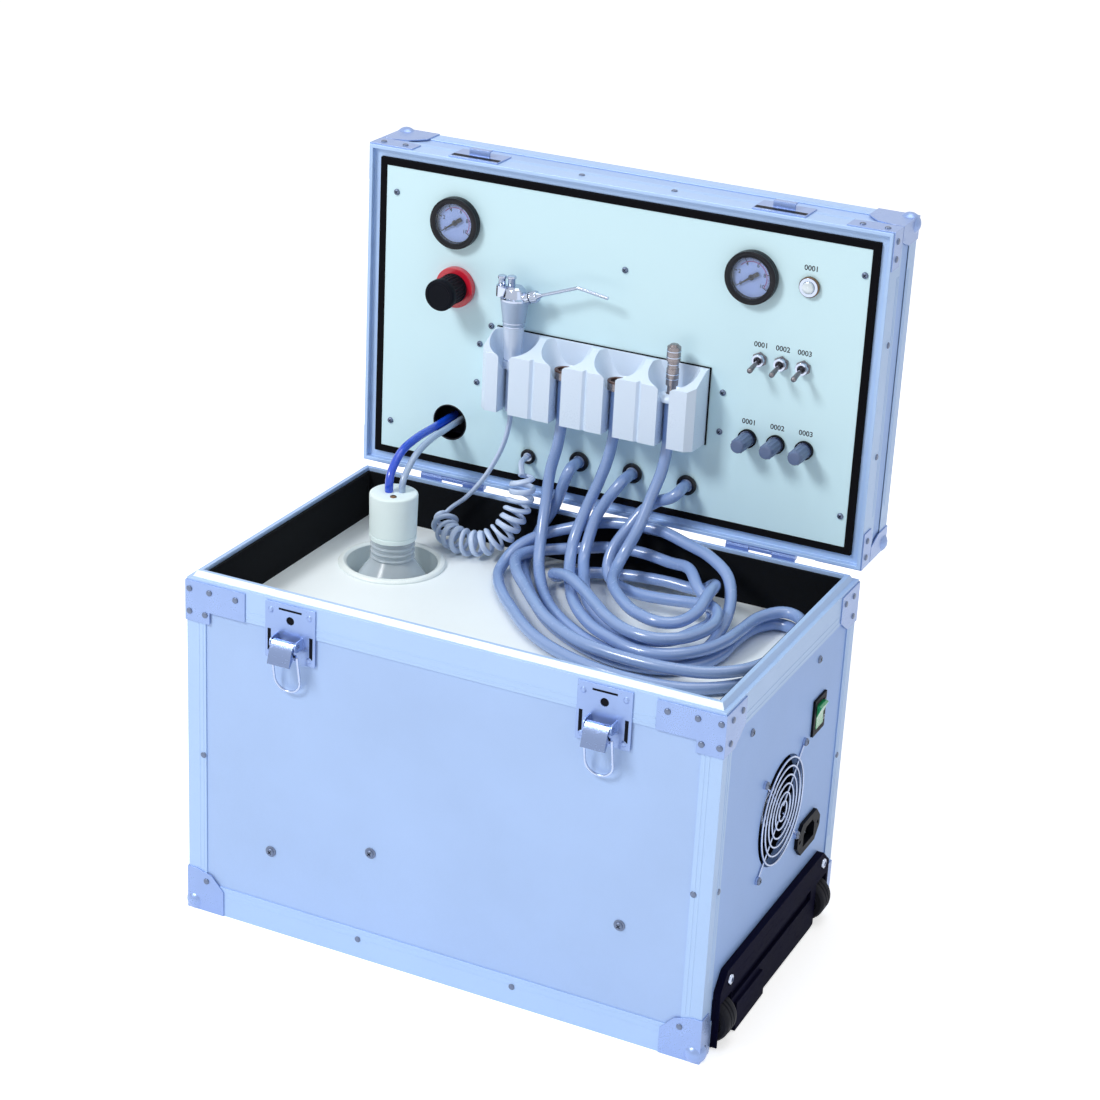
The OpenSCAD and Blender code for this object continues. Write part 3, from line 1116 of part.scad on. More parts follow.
hose_3 = [
    [60, 122.5, 415], [60, 122.5, 394], [59.8, 122.4, 376], [57.6, 119.6, 355], [54, 111, 336], [50, 98, 312],
    [43, 87, 291], [43, 71, 281.5], [51, 50, 281], [67, 28, 282], [86, 10, 282], [107, 1, 282],
    [121, 4, 282], [129, 14, 283], [133, 30, 286], [132, 51, 291], [129, 71, 289], [121, 88, 282],
    [104, 101, 269], [75, 104, 268], [48, 105, 266], [22, 102, 264], [-1, 90, 263], [-9, 75, 264],
    [-4, 58, 274], [16, 41, 282.5], [37, 25, 282], [56, 6, 282], [75, -12, 282], [98, -26, 282],
    [122, -28, 282], [141, -14, 282], [150, 11, 282], [147, 35, 282], [135, 51, 281],
    [115, 60, 276], [89, 63, 272], [63, 68, 269], [39, 80, 268], [29, 89, 274], [28, 100, 288],
    [37, 109, 306], [44, 117, 318], [55, 119, 328], [68, 117, 335], [73, 119, 339.5],
    [73, 125.5, 340.5], [73, 135.5, 340.5]];
hoses = [hose_1, hose_2, hose_3];
module handpiece_hoses() {
    color(hose_grey) for (h = hoses) tube(h, hose_d / 2, 6);
    fine = [for (h = hoses) stepped(h, 5)];
    echo("hoses: lengths mm", [for (h = hoses) length_of(h)]);
    echo("hoses: least gap of each to itself mm", [for (h = fine) self_gap(h, hose_d / 2, 40)]);
    echo("hoses: least gap between two mm", [for (p = [[0, 1], [0, 2], [1, 2]])
        gap_to(fine[p.x], fine[p.y], hose_d / 2)]);
}

front_panel();
right_panel();
case_walls();
base_frame();
base_corners();
base_fasteners();
deck_plate();
deck_lining();
well_cup();
switch_bezel();
power_inlet();
fan_frame();
fan_guard();
kick_plate();
latch_plates();
base_hinges();
compressor();
air_tank();
handle_sleeves();
lid_panels();
lid_frame();
lid_hardware();
lid_fasteners();
panel_gasket();
control_panel();
gauge_cases();
gauge_lenses();
regulator_body();
panel_bushings();
instrument_holder();
hose_couplings();
lid_hinges();
fan_rotor();
rocker();
front_wheel();
rear_wheel();
left_latch_lever();
left_latch_loop();
right_latch_lever();
right_latch_loop();
left_needle();
right_needle();
regulator_knob();
push_button();
toggle_1();
toggle_2();
toggle_3();
valve_knob_1();
valve_knob_2();
valve_knob_3();
syringe_body();
syringe_button_1();
syringe_button_2();
syringe_nozzle();
pull_handle();
bottle();
bottle_cap();
curly_cord();
bottle_tubes();
handpiece_hoses();
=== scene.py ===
"""Dresses the portable dental unit: camera and light, cords, finishes and fine detail."""

import json
import logging
import math
from dataclasses import dataclass
from enum import Enum
from typing import Callable, Iterable, Sequence, Union

import bmesh
import bpy
from mathutils import Matrix, Vector

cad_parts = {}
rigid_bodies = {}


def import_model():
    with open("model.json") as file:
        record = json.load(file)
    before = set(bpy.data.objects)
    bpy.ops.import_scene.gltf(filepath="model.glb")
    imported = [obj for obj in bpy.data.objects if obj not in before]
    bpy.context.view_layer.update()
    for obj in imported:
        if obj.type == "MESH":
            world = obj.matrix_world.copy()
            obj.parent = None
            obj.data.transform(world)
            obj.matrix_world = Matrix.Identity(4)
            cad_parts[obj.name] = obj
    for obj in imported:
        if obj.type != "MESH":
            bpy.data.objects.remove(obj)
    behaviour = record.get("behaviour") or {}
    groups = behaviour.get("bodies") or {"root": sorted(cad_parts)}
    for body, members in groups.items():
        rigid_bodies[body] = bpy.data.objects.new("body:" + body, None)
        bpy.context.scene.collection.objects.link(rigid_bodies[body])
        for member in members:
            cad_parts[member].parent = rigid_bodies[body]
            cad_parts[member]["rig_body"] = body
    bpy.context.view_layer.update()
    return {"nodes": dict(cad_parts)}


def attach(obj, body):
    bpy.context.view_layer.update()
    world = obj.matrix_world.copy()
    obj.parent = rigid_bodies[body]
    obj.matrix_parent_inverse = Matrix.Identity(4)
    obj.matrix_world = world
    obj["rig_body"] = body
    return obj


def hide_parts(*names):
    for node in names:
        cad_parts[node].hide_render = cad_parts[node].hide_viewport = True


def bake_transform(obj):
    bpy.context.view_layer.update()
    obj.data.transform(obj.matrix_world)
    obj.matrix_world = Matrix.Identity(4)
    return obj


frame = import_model()

log = logging.getLogger("dental_unit")
MM = 0.001
Point = Sequence[float]
Term = Union["Wire", float]


# ---------------------------------------------------------------- shader sums


class Wire:
    """One shader value that takes part in Python sums."""

    def __init__(self, tree: bpy.types.NodeTree, end: bpy.types.NodeSocket) -> None:
        """Keeps the tree and the output socket that the value leaves by."""
        self.tree = tree
        self.end = end

    def _sum(self, operation: str, *terms: Term, clamp: bool = False) -> "Wire":
        """Adds one Math node.

        Args:
            operation: the Math node's operation.
            terms: its values, numbers or wires, in order.
            clamp: whether the result is kept from 0 to 1.

        Returns:
            The node's result.
        """
        node = self.tree.nodes.new("ShaderNodeMath")
        node.operation = operation
        node.use_clamp = clamp
        for socket, term in zip(node.inputs, terms):
            if isinstance(term, Wire):
                self.tree.links.new(term.end, socket)
            else:
                socket.default_value = term
        return Wire(self.tree, node.outputs[0])

    def __add__(self, other: Term) -> "Wire":
        """Returns self + other."""
        return self._sum("ADD", self, other)

    __radd__ = __add__

    def __sub__(self, other: Term) -> "Wire":
        """Returns self - other."""
        return self._sum("SUBTRACT", self, other)

    def __rsub__(self, other: Term) -> "Wire":
        """Returns other - self."""
        return self._sum("SUBTRACT", other, self)

    def __mul__(self, other: Term) -> "Wire":
        """Returns self * other."""
        return self._sum("MULTIPLY", self, other)

    __rmul__ = __mul__

    def __truediv__(self, other: Term) -> "Wire":
        """Returns self / other."""
        return self._sum("DIVIDE", self, other)

    def __rtruediv__(self, other: Term) -> "Wire":
        """Returns other / self."""
        return self._sum("DIVIDE", other, self)

    def sin(self) -> "Wire":
        """Returns the sine of the value in radians."""
        return self._sum("SINE", self)

    def clamped(self) -> "Wire":
        """Returns the value kept from 0 to 1."""
        return self._sum("MULTIPLY", self, 1.0, clamp=True)

    def ramp(self, low: float, high: float) -> "Wire":
        """Returns 0 below low, 1 above high and a straight rise between."""
        return ((self - low) / (high - low)).clamped()


class Recipe:
    """The node tree of one material."""

    def __init__(self, name: str) -> None:
        """Starts an empty tree with an output node."""
        self.material = bpy.data.materials.new(name)
        self.material.use_nodes = True
        self.tree = self.material.node_tree
        self.tree.nodes.clear()
        self.output = self.tree.nodes.new("ShaderNodeOutputMaterial")

    def node(self, kind: str, settings: dict | None = None, sockets: dict | None = None,
             out: str | int = 0) -> Wire:
        """Adds any node that isn't a sum.

        Args:
            kind: the node's type, without its leading ShaderNode.
            settings: its properties, set first.
            sockets: values or wires by socket name or number.
            out: the output that is handed back.

        Returns:
            The wire that leaves the asked output.
        """
        made = self.tree.nodes.new("ShaderNode" + kind)
        for key, value in (settings or {}).items():
            setattr(made, key, value)
        for key, value in (sockets or {}).items():
            socket = made.inputs[key]
            if isinstance(value, Wire):
                self.tree.links.new(value.end, socket)
            else:
                socket.default_value = value
        return Wire(self.tree, made.outputs[out])

    def place(self, stretch: Point = (1.0, 1.0, 1.0)) -> Wire:
        """Returns the point on the piece, in metres, times stretch on each axis."""
        spot = self.node("TexCoord", out="Object")
        return self.node("Mapping", sockets={"Vector": spot, "Scale": tuple(stretch)})

    def noise(self, per_metre: float, detail: float = 3.0, rough: float = 0.55,
              stretch: Point = (1.0, 1.0, 1.0)) -> Wire:
        """Returns smooth noise from about 0.2 to 0.8, with per_metre blots to the metre."""
        return self.node("TexNoise", sockets={
            "Vector": self.place(stretch), "Scale": per_metre, "Detail": detail,
            "Roughness": rough})

    def axes(self) -> tuple[Wire, Wire, Wire]:
        """Returns the point's x, y and z in metres."""
        spot = self.place()
        split = self.tree.nodes.new("ShaderNodeSeparateXYZ")
        self.tree.links.new(spot.end, split.inputs[0])
        return tuple(Wire(self.tree, s) for s in split.outputs)

    def blend(self, mask: Term, low: Union[Wire, Point], high: Union[Wire, Point]) -> Wire:
        """Returns a colour, low where mask is 0 and high where it is 1."""
        def coloured(value: Union[Wire, Point]) -> Union[Wire, tuple]:
            """Returns a plain colour with its alpha, or the wire as it is."""
            return value if isinstance(value, Wire) else (*value[:3], 1.0)
        return self.node("Mix", {"data_type": "RGBA"}, {
            0: mask, 6: coloured(low), 7: coloured(high)}, out=2)

    def bump(self, height: Wire, depth: float, strength: float = 1.0) -> Wire:
        """Returns a normal from a height that runs from 0 to 1 over depth metres."""
        return self.node("Bump", sockets={
            "Height": height, "Distance": depth, "Strength": strength})

    def surface(self, **sockets: Union[Wire, float, Point]) -> bpy.types.Material:
        """Closes the tree with a Principled shader.

        Args:
            sockets: the shader's sockets, with _ for spaces in their names.

        Returns:
            The finished material.
        """
        shader = self.tree.nodes.new("ShaderNodeBsdfPrincipled")
        for key, value in sockets.items():
            socket = shader.inputs[key.replace("_", " ")]
            if isinstance(value, Wire):
                self.tree.links.new(value.end, socket)
            elif hasattr(value, "__len__") and len(value) == 3:
                socket.default_value = (*value, 1.0)
            else:
                socket.default_value = value
        self.tree.links.new(shader.outputs[0], self.output.inputs["Surface"])
        return self.material


# ---------------------------------------------------------------- finishes


class Grain(Enum):
    """The way that a surface's fine lines run."""

    NONE = (1.0, 1.0, 1.0)
    ALONG_X = (0.02, 1.0, 1.0)


class Coat:
    """A finish whose material is made once."""

    name: str

    def material(self) -> bpy.types.Material:
        """Returns the finish's material, made on its first use."""
        return bpy.data.materials.get(self.name) or self.mixed(Recipe(self.name))

    def mixed(self, m: Recipe) -> bpy.types.Material:
        """Returns the material that the finish mixes in an empty recipe."""
        raise NotImplementedError(self.name)


@dataclass(frozen=True)
class Finish(Coat):
    """A coat, sheet or moulding with its colour drift, grain and scuffs.

    Sizes are in millimetres; drift and scuff run from 0 to 1.
    """

    name: str
    colour: tuple[float, float, float]
    rough: float = 0.4
    metal: float = 0.0
    coat: float = 0.0
    drift: float = 0.06
    drift_mm: float = 60.0
    drift_to: tuple[float, float, float] | None = None
    grain: Grain = Grain.NONE
    grain_mm: float = 1.0
    grain_deep: float = 0.02
    scuff: float = 0.1
    specular: float = 0.5

    def mixed(self, m: Recipe) -> bpy.types.Material:
        """Returns drifting colour under fine grain and streaks of wear."""
        blots = m.noise(1000 / self.drift_mm, 4).ramp(0.3, 0.7)
        far = self.drift_to or tuple(c * 0.8 for c in self.colour)
        colour = m.blend(blots * self.drift, self.colour, far)
        fine = m.noise(1000 / self.grain_mm, 2, 0.6, self.grain.value)
        streaks = m.noise(220, 5, 0.7, (1.0, 0.35, 1.6)).ramp(0.56, 0.72)
        colour = m.blend(streaks * (self.scuff * 0.5), colour, far)
        rough = (self.rough + (fine - 0.5) * 0.12 + streaks * (self.scuff * 0.6)
                 + (blots - 0.5) * 0.05).clamped()
        return m.surface(Base_Color=colour, Roughness=rough, Metallic=self.metal,
                         Coat_Weight=self.coat, Coat_Roughness=0.15,
                         Specular_IOR_Level=self.specular,
                         Normal=m.bump(fine, self.grain_deep * MM * 4, 0.6))


@dataclass(frozen=True)
class Laminate(Coat):
    """The case's skin: a finely embossed sheet in a regular dot pattern."""

    name: str
    colour: tuple[float, float, float]
    pitch_mm: float = 1.6
    deep_mm: float = 0.05
    shade: float = 0.14

    def mixed(self, m: Recipe) -> bpy.types.Material:
        """Returns a cloudy sheet embossed with a regular pattern of dots."""
        x, y, z = m.axes()
        turn = 2 * math.pi / (self.pitch_mm * MM)
        dots = (((x + y) * turn).sin() * (z * turn).sin() + 1.0) * 0.5
        cloud = m.noise(9, 3).ramp(0.3, 0.7)
        speck = m.noise(700, 2)
        far = tuple(c * (1 - self.shade) for c in self.colour)
        colour = m.blend((cloud * 0.45 + speck * 0.25 + dots * 0.3).clamped(), self.colour, far)
        rough = (0.42 + speck * 0.16 - dots * 0.06).clamped()
        height = dots * 0.7 + speck * 0.3
        return m.surface(Base_Color=colour, Roughness=rough, Metallic=0.15,
                         Normal=m.bump(height, self.deep_mm * MM, 0.8))


@dataclass(frozen=True)
class Felt(Coat):
    """Black felt or foam: fibres, lint and a soft sheen."""

    name: str
    colour: tuple[float, float, float]
    lint: float = 0.2

    def mixed(self, m: Recipe) -> bpy.types.Material:
        """Returns matt fibres in clumps, with specks of lint."""
        fibre = m.noise(1500, 4, 0.8)
        clump = m.noise(160, 3, 0.6)
        lint = m.noise(420, 6, 0.9).ramp(0.62, 0.72)
        pale = tuple(c + 0.008 for c in self.colour)
        fluff = (fibre * 0.5 + clump * 0.3 + lint * self.lint).clamped()
        colour = m.blend(fluff, self.colour, pale)
        return m.surface(Base_Color=colour, Roughness=0.95, Specular_IOR_Level=0.04,
                         Sheen_Weight=0.02, Sheen_Roughness=0.6,
                         Normal=m.bump(fibre * 0.6 + clump * 0.4, 0.5 * MM))


@dataclass(frozen=True)
class Clear(Coat):
    """Clear or tinted plastic and glass."""

    name: str
    colour: tuple[float, float, float]
    rough: float = 0.05
    alpha: float = 0.3
    through: float = 0.6

    def mixed(self, m: Recipe) -> bpy.types.Material:
        """Returns a see-through body that is denser at its rim and where it is hazy."""
        haze = m.noise(60, 4, 0.7).ramp(0.4, 0.75)
        rim = m.node("LayerWeight", sockets={"Blend": 0.35}, out="Facing")
        seen = (rim * self.through + haze * 0.04 + self.alpha).clamped()
        colour = m.blend(haze * 0.3, self.colour, tuple(c * 0.9 for c in self.colour))
        return m.surface(Base_Color=colour, Roughness=(haze * 0.1 + self.rough).clamped(),
                         Alpha=seen, IOR=1.46, Specular_IOR_Level=0.6)


ALLOY = Finish("alloy_profile", (0.44, 0.62, 0.93), 0.40, 0.2, drift=0.22, drift_mm=90,
               grain=Grain.ALONG_X, grain_mm=0.7, scuff=0.22)
PLATE = Finish("plated_steel", (0.30, 0.42, 0.74), 0.30, 0.5, drift=0.3, drift_mm=30,
               grain_mm=0.8, scuff=0.3)
# Painted highlight: a much lighter copy of the alloy for the top face of the front rim, where light
# falls on it.
RIM_TOP_HIGHLIGHT = Finish("rim_top_painted_highlight", (0.86, 0.95, 1.0), 0.32, 0.1, drift=0.15, drift_mm=60,
                 grain=Grain.ALONG_X, grain_mm=0.7, scuff=0.12)
LEVER = Finish("latch_lever", (0.24, 0.32, 0.54), 0.22, 0.7, drift=0.3, drift_mm=14,
               grain_mm=0.7, scuff=0.3)
RIVET = Finish("rivet_heads", (0.16, 0.20, 0.30), 0.32, 0.7, drift=0.4, drift_mm=8,
               grain_mm=0.5, scuff=0.3)
SKIN = Laminate("case_laminate", (0.43, 0.60, 0.94))
# Painted shade: a darker, bluer copy of the case's laminate, put on the right-hand faces, which lie
# in shade.
SKIN_SHADED_SIDE = Laminate("case_laminate_shaded_side", (0.35, 0.54, 0.96))
DECK = Finish("deck_paint", (0.90, 0.97, 1.0), 0.38, drift=0.2, drift_mm=120, grain_mm=0.9,
              grain_deep=0.01, scuff=0.15)
PANEL = Finish("panel_paint", (0.66, 0.90, 0.98), 0.36, drift=0.12, drift_mm=140,
               drift_to=(0.54, 0.79, 0.96), grain_mm=0.9, grain_deep=0.008, scuff=0.08)
FELT = Felt("felt_lining", (0.002, 0.003, 0.005), 0.2)
FOAM = Felt("foam_gasket", (0.002, 0.002, 0.004), 0.05)
WELL = Finish("well_moulding", (0.86, 0.94, 0.95), 0.3, coat=0.3, drift=0.2, drift_mm=40)
BLACK = Finish("black_moulding", (0.004, 0.005, 0.009), 0.45, drift=0.3, drift_mm=20,
               drift_to=(0.010, 0.011, 0.018), grain_mm=0.6, scuff=0.2, specular=0.06)
GLOSS = Finish("gauge_bezel", (0.004, 0.005, 0.010), 0.24, drift=0.3, drift_mm=12,
               drift_to=(0.008, 0.009, 0.015), grain_mm=0.6, grain_deep=0.006, specular=0.22)
WIRE = Finish("bright_wire", (0.44, 0.52, 0.72), 0.24, 0.9, drift=0.2, drift_mm=10, scuff=0.1)
NAVY = Finish("kick_paint", (0.003, 0.003, 0.014), 0.7, drift=0.5, drift_mm=50,
              drift_to=(0.008, 0.008, 0.030), grain_mm=1.4, grain_deep=0.03, scuff=0.35,
              specular=0.03)
IRON = Finish("compressor_paint", (0.10, 0.12, 0.14), 0.5, 0.2, drift=0.4, drift_mm=30)
TANK = Finish("tank_enamel", (0.78, 0.80, 0.82), 0.35, drift=0.2)
CHROME = Finish("chrome_plate", (0.46, 0.52, 0.66), 0.14, 1.0, drift=0.2, drift_mm=12,
                grain_mm=0.6, grain_deep=0.004, scuff=0.12)
COUPLING = Finish("hose_coupling", (0.30, 0.28, 0.30), 0.24, 0.8, drift=0.4, drift_mm=9,
                  drift_to=(0.10, 0.07, 0.06), grain_mm=0.6, scuff=0.3)
UMBER = Finish("coupling_rim", (0.10, 0.045, 0.03), 0.35, 0.4, drift=0.4, drift_mm=5)
GRIP = Finish("syringe_grip", (0.52, 0.62, 0.80), 0.3, 0.2, drift=0.2, drift_mm=20,
              grain_mm=0.8, scuff=0.12)
GRIP_DARK = Finish("syringe_flare", (0.35, 0.45, 0.62), 0.3, 0.35, drift=0.25, drift_mm=12,
                   grain_mm=0.8, scuff=0.15)
HOLDER = Finish("holder_moulding", (0.72, 0.84, 1.0), 0.3, coat=0.2, drift=0.14, drift_mm=50,
                drift_to=(0.62, 0.77, 0.97), grain_mm=1.2, grain_deep=0.01, scuff=0.06)
RED = Finish("red_ring", (0.62, 0.01, 0.035), 0.3, coat=0.4, drift=0.3, drift_mm=12)
GREEN = Finish("green_rocker", (0.03, 0.46, 0.17), 0.22, coat=0.6, drift=0.3, drift_mm=9)
TYRE = Finish("wheel_tyre", (0.012, 0.013, 0.02), 0.6, drift=0.4, drift_mm=12, grain_mm=0.8,
              grain_deep=0.06, scuff=0.4, specular=0.12)
HUB = Finish("wheel_hub", (0.10, 0.11, 0.14), 0.4, drift=0.3, drift_mm=8, scuff=0.3)
CAP = Finish("cap_moulding", (0.82, 0.95, 0.96), 0.42, drift=0.2, drift_mm=25)
BUTTON = Finish("button_cap", (0.66, 0.74, 0.80), 0.25, 0.3, coat=0.3, drift=0.2, drift_mm=6)
BRASS = Finish("dark_brass", (0.16, 0.10, 0.06), 0.3, 0.8, drift=0.4, drift_mm=5, scuff=0.3)
BAT = Finish("toggle_bat", (0.20, 0.19, 0.21), 0.28, 0.85, drift=0.3, drift_mm=8)
KNOB = Finish("valve_knob", (0.11, 0.16, 0.30), 0.4, coat=0.1, drift=0.3, drift_mm=8)
GLAND = Finish("hose_gland", (0.006, 0.007, 0.012), 0.4, drift=0.3, drift_mm=6, specular=0.3)
DIAL = Finish("dial_paint", (0.32, 0.44, 0.82), 0.5, drift=0.15, drift_mm=14, scuff=0.04)
INK = Finish("printed_ink", (0.01, 0.012, 0.025), 0.5, drift=0.3, drift_mm=3, scuff=0.02)
INK_LIGHT = Finish("pale_ink", (0.6, 0.66, 0.74), 0.5, drift=0.2, drift_mm=3, scuff=0.02)
VIOLET = Finish("violet_ink", (0.30, 0.04, 0.22), 0.5, drift=0.3, drift_mm=4, scuff=0.02)
HOSE = Finish("hose_silicone", (0.26, 0.39, 0.70), 0.24, coat=0.6, drift=0.3, drift_mm=70,
              drift_to=(0.17, 0.26, 0.50), grain_mm=1.2, grain_deep=0.012, scuff=0.15)
CORD = Finish("curly_tube", (0.60, 0.72, 0.94), 0.4, coat=0.1, drift=0.35, drift_mm=30,
              drift_to=(0.38, 0.48, 0.68), grain_mm=0.9, scuff=0.2)
BLUE_TUBE = Finish("blue_tube", (0.01, 0.075, 0.66), 0.22, coat=0.5, drift=0.25, drift_mm=20)
CLEAR_TUBE = Finish("clear_tube", (0.36, 0.48, 0.68), 0.2, coat=0.5, drift=0.3, drift_mm=20)
LENS = Clear("gauge_glass", (0.80, 0.90, 1.0), 0.04, 0.02, 0.12)
BOTTLE = Clear("bottle_plastic", (0.70, 0.80, 0.88), 0.12, 0.35)
WATER = Clear("bottle_water", (0.60, 0.74, 0.88), 0.05, 0.4)
NEEDLE = Finish("needle_paint", (0.01, 0.01, 0.02), 0.4)

# The right panel wears the laminate's darker copy, painted shade for the right side.
NODE_FINISH = {
    "front_panel": SKIN, "right_panel": SKIN_SHADED_SIDE, "case_walls": SKIN, "lid_panels": SKIN,
    "base_frame": ALLOY, "base_corners": PLATE, "base_fasteners": RIVET, "deck_plate": DECK,
    "deck_lining": FELT, "well_cup": WELL, "switch_bezel": BLACK, "power_inlet": BLACK,
    "fan_frame": BLACK, "fan_guard": WIRE, "kick_plate": NAVY, "latch_plates": PLATE,
    "base_hinges": PLATE, "compressor": IRON, "air_tank": TANK, "handle_sleeves": ALLOY,
    "lid_frame": ALLOY, "lid_hardware": PLATE, "lid_fasteners": RIVET, "panel_gasket": FOAM,
    "control_panel": PANEL, "gauge_cases": GLOSS, "gauge_lenses": LENS, "regulator_body": RED,
    "panel_bushings": CHROME, "instrument_holder": HOLDER, "hose_couplings": COUPLING,
    "lid_hinges": PLATE, "fan_rotor": BLACK, "rocker": GREEN, "front_wheel": TYRE,
    "rear_wheel": TYRE, "left_latch_lever": LEVER, "left_latch_loop": WIRE,
    "right_latch_lever": LEVER, "right_latch_loop": WIRE, "left_needle": NEEDLE,
    "right_needle": NEEDLE, "regulator_knob": BLACK, "push_button": BUTTON, "toggle_1": BAT,
    "toggle_2": BAT, "toggle_3": BAT, "valve_knob_1": KNOB, "valve_knob_2": KNOB,
    "valve_knob_3": KNOB, "syringe_body": GRIP, "syringe_button_1": CHROME,
    "syringe_button_2": CHROME, "syringe_nozzle": CHROME, "pull_handle": CHROME,
    "bottle": BOTTLE, "bottle_cap": CAP, "curly_cord": CORD, "bottle_tubes": BLUE_TUBE,
    "handpiece_hoses": HOSE,
}


# ---------------------------------------------------------------- mesh making


def spline(route: Sequence[Point], steps: int) -> list[Vector]:
    """Runs one smooth line through every point of a route.

    Args:
        route: the points that the line passes through.
        steps: the pieces that each stretch is cut into.

    Returns:
        The line's points.
    """
    pts = [Vector(p) for p in route]
    pts = [pts[0]] + pts + [pts[-1]]
    line = []
    for a, b, c, d in zip(pts, pts[1:], pts[2:], pts[3:]):
        for k in range(steps):
            t = k / steps
            line.append(0.5 * (2 * b + (c - a) * t + (2 * a - 5 * b + 4 * c - d) * t * t
                               + (3 * b - a - 3 * c + d) * t ** 3))
    line.append(pts[-1])
    return line


def spread(line: Sequence[Vector], gap: float) -> list[Vector]:
    """Places points a steady gap apart along a line, its two ends included."""
    runs = [0.0]
    for a, b in zip(line, line[1:]):
        runs.append(runs[-1] + (b - a).length)
    count = max(2, round(runs[-1] / gap) + 1)
    placed, k = [], 0
    for i in range(count):
        want = runs[-1] * i / (count - 1)
        while k < len(runs) - 2 and runs[k + 1] < want:
            k += 1
        part = (want - runs[k]) / max(runs[k + 1] - runs[k], 1e-9)
        placed.append(line[k].lerp(line[k + 1], min(part, 1.0)))
    return placed


def length_of(line: Sequence[Vector]) -> float:
    """Returns the length of a line of points."""
    return sum((b - a).length for a, b in zip(line, line[1:]))


def headings(line: Sequence[Vector]) -> list[Vector]:
    """Returns the line's direction at each of its points."""
    ways = []
    for i, here in enumerate(line):
        before = here - line[max(i - 1, 0)]
        after = line[min(i + 1, len(line) - 1)] - here
        ways.append((before.normalized() + after.normalized()).normalized())
    return ways


def carried(line: Sequence[Vector], first: Point) -> list[Vector]:
    """Returns a side direction at each point, carried along without twisting."""
    side = Vector(first)
    sides = []
    for way in headings(line):
        side = (side - way * side.dot(way)).normalized()
        sides.append(side)
    return sides


